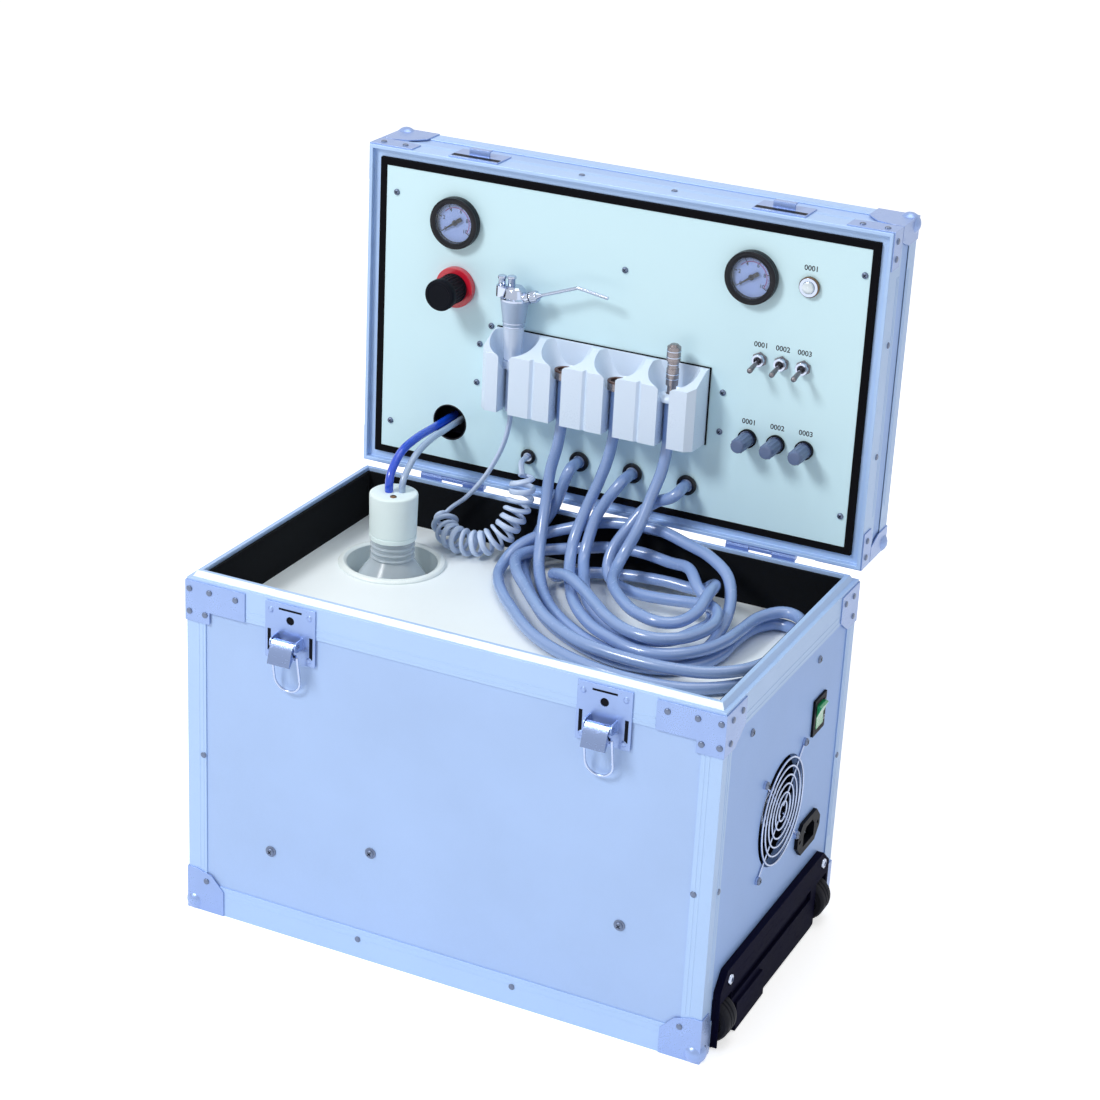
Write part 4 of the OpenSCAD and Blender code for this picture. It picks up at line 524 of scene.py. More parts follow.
class Draft:
    """A mesh that is being drawn, in millimetres in its own axes."""

    def __init__(self) -> None:
        """Starts with nothing drawn."""
        self.mesh = bmesh.new()

    def skin(self, rings: Sequence[Sequence[Point]], closed: bool = False) -> "Draft":
        """Joins rings of equal count with faces.

        Args:
            rings: loops of points, in order along the piece.
            closed: whether the last ring joins the first; otherwise both are filled.

        Returns:
            The draft itself.
        """
        loops = [[self.mesh.verts.new(Vector(p)) for p in ring] for ring in rings]
        pairs = list(zip(loops, loops[1:]))
        if closed:
            pairs.append((loops[-1], loops[0]))
        for low, high in pairs:
            n = len(low)
            for k in range(n):
                self.mesh.faces.new((low[k], low[(k + 1) % n], high[(k + 1) % n], high[k]))
        if not closed:
            self.mesh.faces.new(list(reversed(loops[0])))
            self.mesh.faces.new(loops[-1])
        return self

    def tube(self, line: Sequence[Vector], radius: float, sides: int = 16,
             first: Point = (0.3, 0.2, 0.1)) -> "Draft":
        """Sweeps a round section along a line; first points to its first corner."""
        rings = []
        for p, way, side in zip(line, headings(line), carried(line, first)):
            up = way.cross(side)
            rings.append([p + radius * (math.cos(a) * side + math.sin(a) * up)
                          for a in (2 * math.pi * k / sides for k in range(sides))])
        return self.skin(rings)

    def lathe(self, profile: Sequence[Point], at: Point = (0, 0, 0), along: Point = (0, 0, 1),
              steps: int = 48, ribs: Callable[[float, float], float] | None = None) -> "Draft":
        """Turns (radius, height) points round an axis.

        Args:
            profile: the outline, from one end of the axis to the other.
            at: where height 0 lies.
            along: the axis, pointing towards greater height.
            steps: the faces round the piece.
            ribs: what is added to the radius at an angle and height.

        Returns:
            The draft itself.
        """
        way = Vector(along).normalized()
        side = way.orthogonal().normalized()
        if abs(way.y) > 0.9:
            side = Vector((1, 0, 0))
        up = way.cross(side)
        rings = []
        for r, h in profile:
            ring = []
            for k in range(steps):
                a = 2 * math.pi * k / steps
                far = max(r, 1e-4) + (ribs(a, h) if ribs and r > 0 else 0.0)
                ring.append(Vector(at) + way * h + far * (math.cos(a) * side + math.sin(a) * up))
            rings.append(ring)
        if tuple(profile[0]) == tuple(profile[-1]):
            return self.skin(rings[:-1], closed=True)
        return self.skin(rings)

    def prism(self, outline: Sequence[Point], at: Point, right: Point, up: Point, out: Point,
              thick: float) -> "Draft":
        """Pushes a flat outline out into a solid.

        Args:
            outline: (right, up) points, anticlockwise.
            at: where the outline's zero lies.
            right: the outline's first direction.
            up: its second direction.
            out: the way in which it is pushed.
            thick: how far.

        Returns:
            The draft itself.
        """
        a, r, u, o = Vector(at), Vector(right), Vector(up), Vector(out)
        low = [a + r * p[0] + u * p[1] for p in outline]
        return self.skin([low, [p + o * thick for p in low]])

    def label(self, figures: str, size: float, at: Point, right: Point, up: Point) -> "Draft":
        """Adds flat figures, centred on a point.

        Args:
            figures: what is printed.
            size: the figures' height.
            at: their middle.
            right: the way in which they read.
            up: their upright.

        Returns:
            The draft itself.
        """
        curve = bpy.data.curves.new("figures", "FONT")
        curve.body, curve.size, curve.resolution_u = figures, size, 3
        curve.offset = size * 0.018
        curve.align_x, curve.align_y = "CENTER", "CENTER"
        obj = bpy.data.objects.new("figures", curve)
        bpy.context.scene.collection.objects.link(obj)
        flat = bpy.data.meshes.new_from_object(
            obj.evaluated_get(bpy.context.evaluated_depsgraph_get()))
        r, u = Vector(right), Vector(up)
        turn = Matrix((r, u, r.cross(u))).transposed().to_4x4()
        flat.transform(Matrix.Translation(Vector(at)) @ turn)
        self.mesh.from_mesh(flat)
        bpy.data.objects.remove(obj)
        bpy.data.curves.remove(curve)
        bpy.data.meshes.remove(flat)
        return self

    def piece(self, name: str, finish: Coat, body: str, soft: float = 40.0,
              bevel: float = 0.0, replaces: Sequence[str] = ()) -> bpy.types.Object:
        """Turns the draft into a piece in metres that rides on a body.

        Args:
            name: the piece's name.
            finish: what it is dressed in.
            body: the body that it rides on.
            soft: edges flatter than this many degrees are shaded smooth.
            bevel: the width of a bevel on its sharp edges, in millimetres.
            replaces: the CAD nodes that it stands for.

        Returns:
            The piece.
        """
        bmesh.ops.recalc_face_normals(self.mesh, faces=self.mesh.faces)
        data = bpy.data.meshes.new(name)
        self.mesh.to_mesh(data)
        self.mesh.free()
        data.transform(Matrix.Scale(MM, 4))
        return finished(name, data, finish, body, soft, bevel * MM, replaces)


def finished(name: str, data: bpy.types.Mesh, finish: Coat, body: str, soft: float,
             bevel: float, replaces: Sequence[str], steps: int = 2) -> bpy.types.Object:
    """Makes an object of a mesh in metres, shades and dresses it and sets it on its body.

    Args:
        name: the piece's name.
        data: its mesh.
        finish: what it is dressed in.
        body: the body that it rides on.
        soft: edges flatter than this many degrees are shaded smooth.
        bevel: the width of its bevel in metres, or 0 for none.
        replaces: the CAD nodes that it stands for.
        steps: the bevel's segments.

    Returns:
        The piece.
    """
    obj = bpy.data.objects.new(name, data)
    bpy.context.scene.collection.objects.link(obj)
    if bevel:
        cut = obj.modifiers.new("bevel", "BEVEL")
        cut.width = bevel
        cut.segments = steps
        cut.limit_method = "ANGLE"
        cut.angle_limit = math.radians(30)
        cut.harden_normals = True
    data.polygons.foreach_set("use_smooth", [True] * len(data.polygons))
    data.set_sharp_from_angle(angle=math.radians(soft))
    data.materials.append(finish.material())
    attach(obj, body)
    if replaces:
        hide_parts(*replaces)
    log.info("%s rides on %s", name, body)
    return obj


# ---------------------------------------------------------------- stage and camera


@dataclass
class Studio:
    """White studio: floor, sky, lamps and the camera at the photograph's angle."""

    lens_mm: float = 84.9
    sensor_mm: float = 36.0
    eye: Point = (0.79308, -1.67539, 1.10911)
    ahead: Point = (-0.38612, 0.83465, -0.39277)
    right: Point = (0.89803, 0.43744, 0.04676)
    floor_half: float = 6.0
    sky_light: float = 0.36
    lamps: tuple = (("key", (-1.5, -2.3, 2.8), 0.9, 78, (1.0, 1.0, 1.0)),
                    ("fill", (2.6, -1.2, 1.6), 1.8, 5, (0.85, 0.92, 1.0)),
                    ("top", (0.2, 0.3, 2.8), 1.6, 18, (1.0, 1.0, 1.0)))
    aim: Point = (0.0, 0.0, 0.3)

    def camera(self) -> None:
        """Sets the camera."""
        data = bpy.data.cameras.new("camera")
        data.lens = self.lens_mm
        data.sensor_width = self.sensor_mm
        data.clip_start = 0.05
        data.clip_end = 50
        obj = bpy.data.objects.new("camera", data)
        back = -Vector(self.ahead).normalized()
        right = Vector(self.right).normalized()
        up = back.cross(right).normalized()
        turn = Matrix((right, up, back)).transposed().to_4x4()
        obj.matrix_world = Matrix.Translation(Vector(self.eye)) @ turn
        bpy.context.scene.collection.objects.link(obj)
        bpy.context.scene.camera = obj

    def sky(self) -> None:
        """Lights the scene evenly and shows white behind it."""
        world = bpy.data.worlds.new("studio")
        bpy.context.scene.world = world
        world.use_nodes = True
        tree = world.node_tree
        tree.nodes.clear()
        rays = tree.nodes.new("ShaderNodeLightPath")
        seen = (Wire(tree, rays.outputs["Is Camera Ray"])
                + Wire(tree, rays.outputs["Is Glossy Ray"])
                + Wire(tree, rays.outputs["Is Transmission Ray"])).clamped()
        glow = tree.nodes.new("ShaderNodeBackground")
        glow.inputs["Color"].default_value = (1.0, 1.0, 1.0, 1.0)
        strength = seen * (1.0 - self.sky_light) + self.sky_light
        tree.links.new(strength.end, glow.inputs["Strength"])
        out = tree.nodes.new("ShaderNodeOutputWorld")
        tree.links.new(glow.outputs[0], out.inputs["Surface"])

    def lamp(self, name: str, at: Point, size: float, power: float, colour: Point) -> None:
        """Hangs one soft square lamp that looks at the object."""
        data = bpy.data.lights.new(name, "AREA")
        data.size = size
        data.energy = power
        data.color = colour
        obj = bpy.data.objects.new(name, data)
        obj.location = at
        obj.rotation_euler = (Vector(self.aim) - Vector(at)).to_track_quat("-Z", "Y").to_euler()
        bpy.context.scene.collection.objects.link(obj)

    def floor(self) -> None:
        """Lays the floor, which reads white and keeps the object's shadow."""
        m = Recipe("studio_floor")
        tone = m.noise(3, 2).ramp(0.2, 0.8)
        colour = m.blend(tone * 0.2, (0.93, 0.93, 0.93), (0.90, 0.90, 0.91))
        rays = m.tree.nodes.new("ShaderNodeLightPath")
        seen = (Wire(m.tree, rays.outputs["Is Camera Ray"])
                + Wire(m.tree, rays.outputs["Is Glossy Ray"])).clamped()
        m.surface(Base_Color=colour, Roughness=0.9, Specular_IOR_Level=0.1,
                  Emission_Color=m.blend(seen, (0, 0, 0), (0.62, 0.62, 0.62)),
                  Emission_Strength=1.0)
        half = self.floor_half
        data = bpy.data.meshes.new("floor")
        data.from_pydata([(-half, -half, 0), (half, -half, 0), (half, half, 0), (-half, half, 0)],
                         [], [(0, 1, 2, 3)])
        obj = bpy.data.objects.new("floor", data)
        data.materials.append(m.material)
        bpy.context.scene.collection.objects.link(obj)

    def build(self) -> None:
        """Sets up the whole studio."""
        scene = bpy.context.scene
        scene.view_settings.view_transform = "Standard"
        self.camera()
        self.sky()
        self.floor()
        for lamp in self.lamps:
            self.lamp(*lamp)
        log.info("studio set")


# ---------------------------------------------------------------- cords


@dataclass
class Hoses:
    """The three handpiece hoses, from the holder down, round the deck and up to the panel."""

    diameter: float = 9.6
    step: float = 3.0
    sides: int = 18
    routes: tuple = (
        ((-34, 122.5, 415), (-34, 122.5, 394), (-34.2, 122.4, 376), (-36, 121, 357),
         (-40, 118, 334), (-39, 110, 308), (-35, 96, 286), (-27, 77, 270), (-13, 55, 262),
         (3, 33, 260.5), (21, 13, 261), (42, -4, 261), (65, -18, 261), (91, -26, 260.5),
         (118, -25, 261), (139, -10, 261), (148, 15, 263), (149, 41, 270), (145, 66, 280),
         (133, 88, 292), (111, 102, 299), (87, 112, 301), (60, 119, 304), (34, 120, 303),
         (7, 119, 299), (-18, 116, 290), (-42, 106.6, 281), (-56, 92, 271.5), (-58, 69, 261),
         (-47, 45, 261), (-31, 23, 261), (-13, 3, 261), (6, -17, 261), (27, -34, 261),
         (51, -47, 261), (76, -56, 261), (103, -61, 261), (130, -61, 261), (156, -56, 261),
         (179, -42, 261), (195, -21, 260.5), (203, 5, 260.5), (205, 32, 260.5), (204, 59, 260.5),
         (196, 83, 260.5), (184, 91, 260.5), (172, 87, 260.5), (163, 68, 261), (160, 41, 260.5),
         (160, 14, 260.5), (152, -11, 260.5), (134, -31, 260.5), (108, -39, 261), (82, -36, 261),
         (56, -26, 261), (33, -12, 261), (13, 5, 261), (-5, 26, 261), (-21, 47, 260.5),
         (-36, 70, 261), (-48, 94, 260.5), (-51, 112, 267), (-44, 117.9, 286.3),
         (-36, 120.8, 303), (-31, 121, 318), (-26, 118, 331), (-23, 119, 339),
         (-23, 125.5, 340.5), (-23, 135.5, 340.5)),
        ((13, 122.5, 415), (13, 122.5, 394), (12.6, 122.4, 376), (9.4, 121, 355), (4, 117, 334),
         (-3, 109, 310), (-6, 96, 287), (1, 76, 273), (13, 53, 268), (26, 29, 271), (42, 8, 271),
         (62, -11, 271), (84, -25, 272), (110, -33, 271), (135, -28, 272), (153, -8, 272),
         (162, 17, 272), (164, 44, 271), (167, 71, 271), (178, 88, 272), (190, 90, 272),
         (201, 79, 272), (207, 54, 272), (207, 27, 272), (204, 0, 272), (193, -24, 272),
         (172, -40, 271), (146, -48, 271), (120, -50, 271), (93, -48, 271), (67, -42, 271),
         (43, -29, 271), (22, -13, 271), (3, 7, 271), (-14, 27, 271), (-32, 48, 272),
         (-45, 71, 272), (-44, 89, 272), (-30, 105, 272), (-5, 113, 276), (21, 114, 282),
         (48, 113, 284), (74, 109, 283), (96, 97, 287), (112, 79, 281), (125, 70, 274),
         (133, 59, 270), (138, 41, 271), (138, 15, 275), (127, -9, 274), (105, -17, 273),
         (80, -9, 272), (59, 7, 271), (41, 27, 271), (27, 50, 271), (15, 74, 271), (6, 93, 280),
         (7, 107, 305), (13, 112, 320), (20, 114, 332), (24, 119, 339), (25, 125.5, 340.5),
         (25, 135.5, 340.5)),
        ((60, 122.5, 415), (60, 122.5, 394), (59.8, 122.4, 376), (57.6, 119.6, 355),
         (54, 111, 336), (50, 98, 312), (43, 87, 291), (43, 71, 281.5), (51, 50, 281),
         (67, 28, 282), (86, 10, 282), (107, 1, 282), (121, 4, 282), (129, 14, 283),
         (133, 30, 286), (132, 51, 291), (129, 71, 289), (121, 88, 282), (104, 101, 269),
         (75, 104, 268), (48, 105, 266), (22, 102, 264), (-1, 90, 263), (-9, 75, 264),
         (-4, 58, 274), (16, 41, 282.5), (37, 25, 282), (56, 6, 282), (75, -12, 282),
         (98, -26, 282), (122, -28, 282), (141, -14, 282), (150, 11, 282), (147, 35, 282),
         (135, 51, 281), (115, 60, 276), (89, 63, 272), (63, 68, 269), (39, 80, 268),
         (29, 89, 274), (28, 100, 288), (37, 109, 306), (44, 117, 318), (55, 119, 328),
         (68, 117, 335), (73, 119, 339.5), (73, 125.5, 340.5), (73, 135.5, 340.5)),
    )

    def build(self) -> None:
        """Lays each hose as one round tube."""
        for i, route in enumerate(self.routes):
            line = spread(spline(route, 12), self.step)
            name = f"hose_{i + 1}"
            obj = Draft().tube(line, self.diameter / 2, self.sides).piece(
                name, HOSE, "base", 60, replaces=("handpiece_hoses",))
            declare(obj, list(reversed(line)))


def declare(obj: bpy.types.Object, line: Sequence[Vector]) -> None:
    """Takes a tube off its body and bakes its place into its mesh; its centreline's length is
    worked out but not kept.

    Args:
        obj: the tube.
        line: its centreline in millimetres, from where it leaves the panel.
    """
    path = [p * MM for p in line]
    round(length_of(path), 3)
    obj.parent = None
    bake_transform(obj)


@dataclass
class CurlyCord:
    """The syringe's curly twin tube: straight lead, curls round a hanging line, straight end."""

    turns: int = 16
    curl: float = 18.6
    wide: float = 4.8
    flat: float = 3.2
    rings: int = 28
    swell: float = 0.5
    hidden: float = 96.0
    lead: tuple = ((-81, 122.5, 377.8), (-81, 122.5, 368), (-84, 120, 350), (-91, 118, 332),
                   (-101, 116, 314), (-114, 114.5, 297), (-126, 113.5, 286))
    axis: tuple = ((-132, 111, 279), (-124, 99, 270.5), (-110, 91.5, 268), (-95, 90, 268),
                   (-82, 93, 271), (-72, 99, 279), (-66, 105, 291), (-63, 110, 304),
                   (-62, 113, 317), (-64, 115, 328))
    tail: tuple = ((-68, 121, 334), (-69.6, 128, 335), (-69.6, 135.4, 335))

    def line(self) -> list[Vector]:
        """Returns the centreline, with a spare stretch up inside the syringe's handle."""
        count = self.turns * self.rings
        middle = spline(self.axis, 24)
        fine = spread(middle, length_of(middle) / count)
        sides = carried(fine, (0.2, 0.6, 1.0))
        ways = headings(fine)
        opening = self.swell * self.rings
        curls = []
        for i, (p, way, side) in enumerate(zip(fine, ways, sides)):
            r = self.curl / 2 * min(1.0, i / opening, (len(fine) - 1 - i) / opening)
            a = 2 * math.pi * i / self.rings
            curls.append(p + r * (math.cos(a) * side + math.sin(a) * way.cross(side)))
        x, y, z = self.lead[0]
        spare = [Vector((x, y, z + self.hidden)), Vector((x, y, z + self.hidden / 2))]
        route = spare + [Vector(p) for p in self.lead]
        start = spline(route + [curls[0]], 8)[:-1]
        end = spline([curls[-1]] + [Vector(p) for p in self.tail], 8)[1:]
        return spread(start + curls + end, 2.0)

    def build(self) -> None:
        """Sweeps the twin tube's figure-eight section along the line."""
        line = self.line()
        lobe, half = self.flat / 2, (self.wide - self.flat) / 2
        rings = []
        for p, way, side in zip(line, headings(line), carried(line, (0.2, 0.6, 1.0))):
            up = way.cross(side)
            ring = []
            for s in (1, -1):
                for k in range(7):
                    a = math.pi * (k / 6 - 0.5) * 0.86 + (0 if s > 0 else math.pi)
                    ring.append(p + side * (s * half + lobe * math.cos(a))
                                + up * lobe * math.sin(a))
            rings.append(ring)
        obj = Draft().skin(rings).piece("curly_tube", CORD, "base", 60, replaces=("curly_cord",))
        declare(obj, list(reversed(line)))


@dataclass
class BottleTubes:
    """The blue and the clear tube, from the bottle's cap through the round hole."""

    blue_d: float = 7.0
    clear_d: float = 5.5
    blue: tuple = ((-149, 44, 318.5), (-149, 44, 326), (-150, 50, 335), (-150, 66, 346),
                   (-149.5, 90, 350), (-149, 125, 350), (-149, 157.4, 350))
    clear: tuple = ((-139.5, 49, 318.4), (-139.5, 49, 325), (-139.5, 55, 333), (-139.5, 72, 344),
                    (-139.5, 98, 349), (-139.5, 128, 349.5), (-139.5, 157.4, 349.5))

    def build(self) -> None:
        """Lays both tubes."""
        for name, route, size, finish in (("blue_tube", self.blue, self.blue_d, BLUE_TUBE),
                                          ("clear_tube", self.clear, self.clear_d, CLEAR_TUBE)):
            line = spread(spline(route, 12), 2.5)
            obj = Draft().tube(line, size / 2, 18).piece(
                name, finish, "base", 60, replaces=("bottle_tubes",))
            declare(obj, list(reversed(line)))


# ---------------------------------------------------------------- CAD solids with softened edges

Split = tuple[Coat, Callable[[Vector], bool]]


def merged(node: str) -> bmesh.types.BMesh:
    """Returns a CAD node's mesh with its corners joined, in metres."""
    mesh = bmesh.new()
    mesh.from_mesh(frame["nodes"][node].data)
    bmesh.ops.remove_doubles(mesh, verts=mesh.verts, dist=1e-6)
    return mesh


def softened(node: str, finish: Coat, bevel: float, soft: float = 35.0, steps: int = 2,
             splits: Sequence[Split] = ()) -> bpy.types.Object:
    """Stands in for a CAD node with the same solid, its hard edges rounded.

    Args:
        node: the CAD node.
        finish: what it is dressed in.
        bevel: the width of its rounded edges, in millimetres.
        soft: edges flatter than this many degrees are shaded smooth.
        steps: the rounding's segments.
        splits: other finishes, each for the faces whose middle (in millimetres) passes its test.

    Returns:
        The piece.
    """
    mesh = merged(node)
    bmesh.ops.dissolve_limit(mesh, angle_limit=math.radians(0.5), verts=mesh.verts,
                             edges=mesh.edges)
    data = bpy.data.meshes.new(node + "_dressed")
    mesh.to_mesh(data)
    mesh.free()
    for name in ("custom_normal", "sharp_edge"):
        if name in data.attributes:
            data.attributes.remove(data.attributes[name])
    obj = finished(node + "_dressed", data, finish, frame["nodes"][node]["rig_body"], soft,
                   bevel * MM, (node,), steps)
    for index, (other, test) in enumerate(splits, start=1):
        data.materials.append(other.material())
        for face in data.polygons:
            if test(face.center / MM):
                face.material_index = index
    return obj


def solids_of(node: str) -> list[list[Vector]]:
    """Returns the corners of each separate solid of a CAD node, in millimetres."""
    mesh = merged(node)
    seen: set[int] = set()
    parts = []
    for corner in mesh.verts:
        if corner.index in seen:
            continue
        seen.add(corner.index)
        open_ends, part = [corner], []
        while open_ends:
            here = open_ends.pop()
            part.append(here.co / MM)
            for edge in here.link_edges:
                other = edge.other_vert(here)
                if other.index not in seen:
                    seen.add(other.index)
                    open_ends.append(other)
        parts.append(part)
    mesh.free()
    return parts


LID_FOOT = Vector((0.0, 135.5, 301.0))
PANEL_FACE = 2.95
INK_FACE = 2.93
BEHIND_PANEL = 4.5
LATCH_X = 131.5
FRONT = Vector((0, -1, 0))
RIGHT = Vector((1, 0, 0))
UP = Vector((0, 0, 1))


def on_lid(x: float, v: float, h: float) -> Vector:
    """Returns a point of the lid: v behind its opening and h above its foot."""
    return LID_FOOT + Vector((x, v, h))


def ring(inner: float, outer: float, low: float, high: float, soft: float) -> list[Point]:
    """Returns a ring's rounded section for Draft.lathe, from its inner back edge round."""
    return [(inner, low), (outer - soft, low), (outer, low + soft), (outer, high - soft),
            (outer - soft, high), (inner + soft, high), (inner, high - soft), (inner, low)]


# ---------------------------------------------------------------- rivets and screws


@dataclass
class Heads:
    """The rivets and screws of one CAD node, as domed heads; the screws' slots are black crosses,
    painted shade.

    Each head is found from its CAD solid: the odd side of its box is its axis, and its widest
    ring is its seat.
    """

    node: str
    body: str
    finish: Finish
    rivet_tall: float = 1.6
    washer_from: float = 4.0
    washer_screw_r: float = 3.2

    def placed(self, part: Sequence[Vector]) -> tuple[Vector, Vector, float, float, float]:
        """Finds how one head sits.

        Args:
            part: the corners of its CAD solid.

        Returns:
            Its foot, the way out, its radius, how far it stands out and its solid's length.
        """
        low = Vector(min(p[i] for p in part) for i in range(3))
        high = Vector(max(p[i] for p in part) for i in range(3))
        size, middle = high - low, (low + high) / 2
        axis = min(range(3), key=lambda i: abs(size[(i + 1) % 3] - size[(i + 2) % 3]))
        radius = max(size[(axis + 1) % 3], size[(axis + 2) % 3]) / 2
        wide = [p[axis] for p in part
                if math.dist([p[i] for i in range(3) if i != axis],
                             [middle[i] for i in range(3) if i != axis]) > radius - 0.06]
        seat = sum(wide) / len(wide)
        to_low, to_high = seat - low[axis], high[axis] - seat
        outward = 1 if to_low < 0.3 or (to_high < to_low and to_high > 0.3) else -1
        tip = high[axis] if outward > 0 else low[axis]
        way = Vector([outward if i == axis else 0 for i in range(3)])
        tall = abs(tip - seat)
        if radius > self.washer_from:
            tall += 0.4
        foot = middle.copy()
        foot[axis] = tip - outward * tall
        return foot, way, radius, tall, size[axis]

    def cross(self, slots: Draft, foot: Vector, way: Vector, r: float, t: float) -> None:
        """Adds black crosses of painted shade for the slots of a screw's head of radius r and
        height t.
        """
        side = way.orthogonal().normalized()
        for arm in (side, way.cross(side)):
            slots.prism([(-r * 0.58, -r * 0.12), (r * 0.58, -r * 0.12),
                         (r * 0.58, r * 0.12), (-r * 0.58, r * 0.12)],
                        foot + way * (t * 0.9), arm, way.cross(arm), way, t * 0.16)

    def build(self) -> None:
        """Builds every head and, on the screws, the black crosses of painted shade for their slots.
        """
        heads, slots = Draft(), Draft()
        for part in solids_of(self.node):
            foot, way, r, t, length = self.placed(part)
            if r > self.washer_from:
                heads.lathe([(0, 0), (r, 0), (r, 0.6), (r - 0.3, 0.85), (0, 0.85)], foot, way, 32)
                foot, r, t = foot + way * 0.8, self.washer_screw_r, t - 0.8
            heads.lathe([(0, 0), (r, 0), (r, t * 0.3), (r * 0.93, t * 0.6), (r * 0.72, t * 0.88),
                         (r * 0.4, t), (0, t * 1.03)], foot, way, 28)
            if length > self.rivet_tall:
                self.cross(slots, foot, way, r, t)
        heads.piece(self.node + "_heads", self.finish, self.body, 50, replaces=(self.node,))
        if len(slots.mesh.faces):
            slots.piece(self.node + "_slots", BLACK, self.body, 20)


# ---------------------------------------------------------------- base


@dataclass
class Case:
    """The base: skins, frame with its drawn ribs, corners, deck, lining and hinges."""

    half_w: float = 225.0
    half_d: float = 137.5
    tall: float = 293.0
    band: float = 26.0
    post: float = 17.0
    rib_wide: float = 1.5
    rib_tall: float = 0.25
    rim_ribs: tuple[float, ...] = (3.2, 8.4)
    corner_front: float = 53.5
    corner_side: float = 38.5
    foot_corner: float = 34.0
    post_ribs: tuple[float, ...] = (3.0, 6.5)
    post_low: float = 39.0
    post_high: float = 37.0
    kick_top: float = 67.0

    def bar(self, draft: Draft, a: Point, b: Point, out: Vector) -> None:
        """Adds one rounded rib between two points of a face that looks out."""
        start, end = Vector(a), Vector(b)
        along = (end - start).normalized()
        w, t = self.rib_wide / 2, self.rib_tall
        side = out.cross(along)
        rings = []
        for p in (start, end):
            rings.append([p + side * u + out * v for u, v in
                          ((-w, -0.1), (w, -0.1), (w, t * 0.4), (w * 0.5, t), (-w * 0.5, t),
                           (-w, t * 0.4))])
        draft.skin(rings)

    def ribs(self) -> None:
        """Draws the ribs of the aluminium profiles on every face."""
        draft = Draft()
        w, d, top, band = self.half_w, self.half_d, self.tall, self.band
        for s in (-1, 1):
            for drop in self.rim_ribs:
                z = top - band + drop
                self.bar(draft, (-w + self.corner_front, s * d, z),
                         (w - self.corner_front, s * d, z), Vector((0, s, 0)))
                self.bar(draft, (s * w, -d + self.corner_side, z),
                         (s * w, d - self.corner_side, z), Vector((s, 0, 0)))
                foot = w - self.foot_corner
                self.bar(draft, (-foot, s * d, band - drop), (foot, s * d, band - drop),
                         Vector((0, s, 0)))
            for t in (-1, 1):
                for back in self.post_ribs:
                    inset, high = self.post - back, top - self.post_high
                    self.bar(draft, (t * (w - inset), s * d, self.post_low),
                             (t * (w - inset), s * d, high), Vector((0, s, 0)))
                    low = self.kick_top if t > 0 else self.post_low
                    self.bar(draft, (t * w, s * (d - inset), low),
                             (t * w, s * (d - inset), high), Vector((t, 0, 0)))
        draft.piece("base_frame_ribs", ALLOY, "base", 30)

    def build(self) -> None:
        """Dresses the base's shell and deck."""
        # Painted highlight: the top faces of the frame's front rim get the lighter alloy copy.
        softened("base_frame", ALLOY, 0.7, splits=(
            (RIM_TOP_HIGHLIGHT, lambda p: p.z > self.tall - 0.5 and p.y < 9 - self.half_d),))
        softened("base_corners", PLATE, 0.35)
        softened("base_hinges", PLATE, 0.3)
        softened("deck_plate", DECK, 0.4)
        softened("deck_lining", FELT, 0.5)
        softened("well_cup", WELL, 0.4, steps=3)
        softened("front_panel", SKIN, 0.3)
        # Painted shade: the right panel gets the darker copy of the laminate.
        softened("right_panel", SKIN_SHADED_SIDE, 0.3)
        softened("case_walls", SKIN, 0.3)
        self.ribs()
        Heads("base_fasteners", "base", RIVET).build()


@dataclass
class Latches:
    """Both draw latches: plate with its keyhole, folded lever and wire loop."""

    plate_y: float = -138.7
    top: float = 291.0
    keyhole_drop: float = 13.0
    slit_drop: float = 4.6
    slot_out: float = 18.4
    slot_z: float = 259.0

    def build(self) -> None:
        """Dresses the plates, levers and loops."""
        softened("latch_plates", PLATE, 0.35)
        # Painted shade: a flat black disc and bars stand for the keyhole, the slit and the slots,
        # whose insides lie in shade.
        hole_shades = Draft()
        for s in (-1, 1):
            at = Vector((s * LATCH_X, self.plate_y + 0.9, self.top - self.keyhole_drop))
            hole_shades.lathe([(0, 0), (3.3, 0), (3.3, 0.1), (0, 0.1)], at, FRONT, 32)
            slit = Vector((s * LATCH_X, self.plate_y, self.top - self.slit_drop))
            hole_shades.prism([(-10, -0.8), (10, -0.8), (10, 0.8), (-10, 0.8)], slit, RIGHT, UP, FRONT,
                        0.15)
            for t in (-1, 1):
                slot = Vector((s * LATCH_X + t * self.slot_out, self.plate_y, self.slot_z))
                hole_shades.prism([(-1.4, -9), (1.4, -9), (1.4, 9), (-1.4, 9)], slot, RIGHT, UP, FRONT,
                            0.15)
        hole_shades.piece("latch_hole_shades", BLACK, "base", 30)
        for side in ("left", "right"):
            softened(side + "_latch_lever", LEVER, 0.6, steps=3)
            softened(side + "_latch_loop", WIRE, 0.0, soft=60)


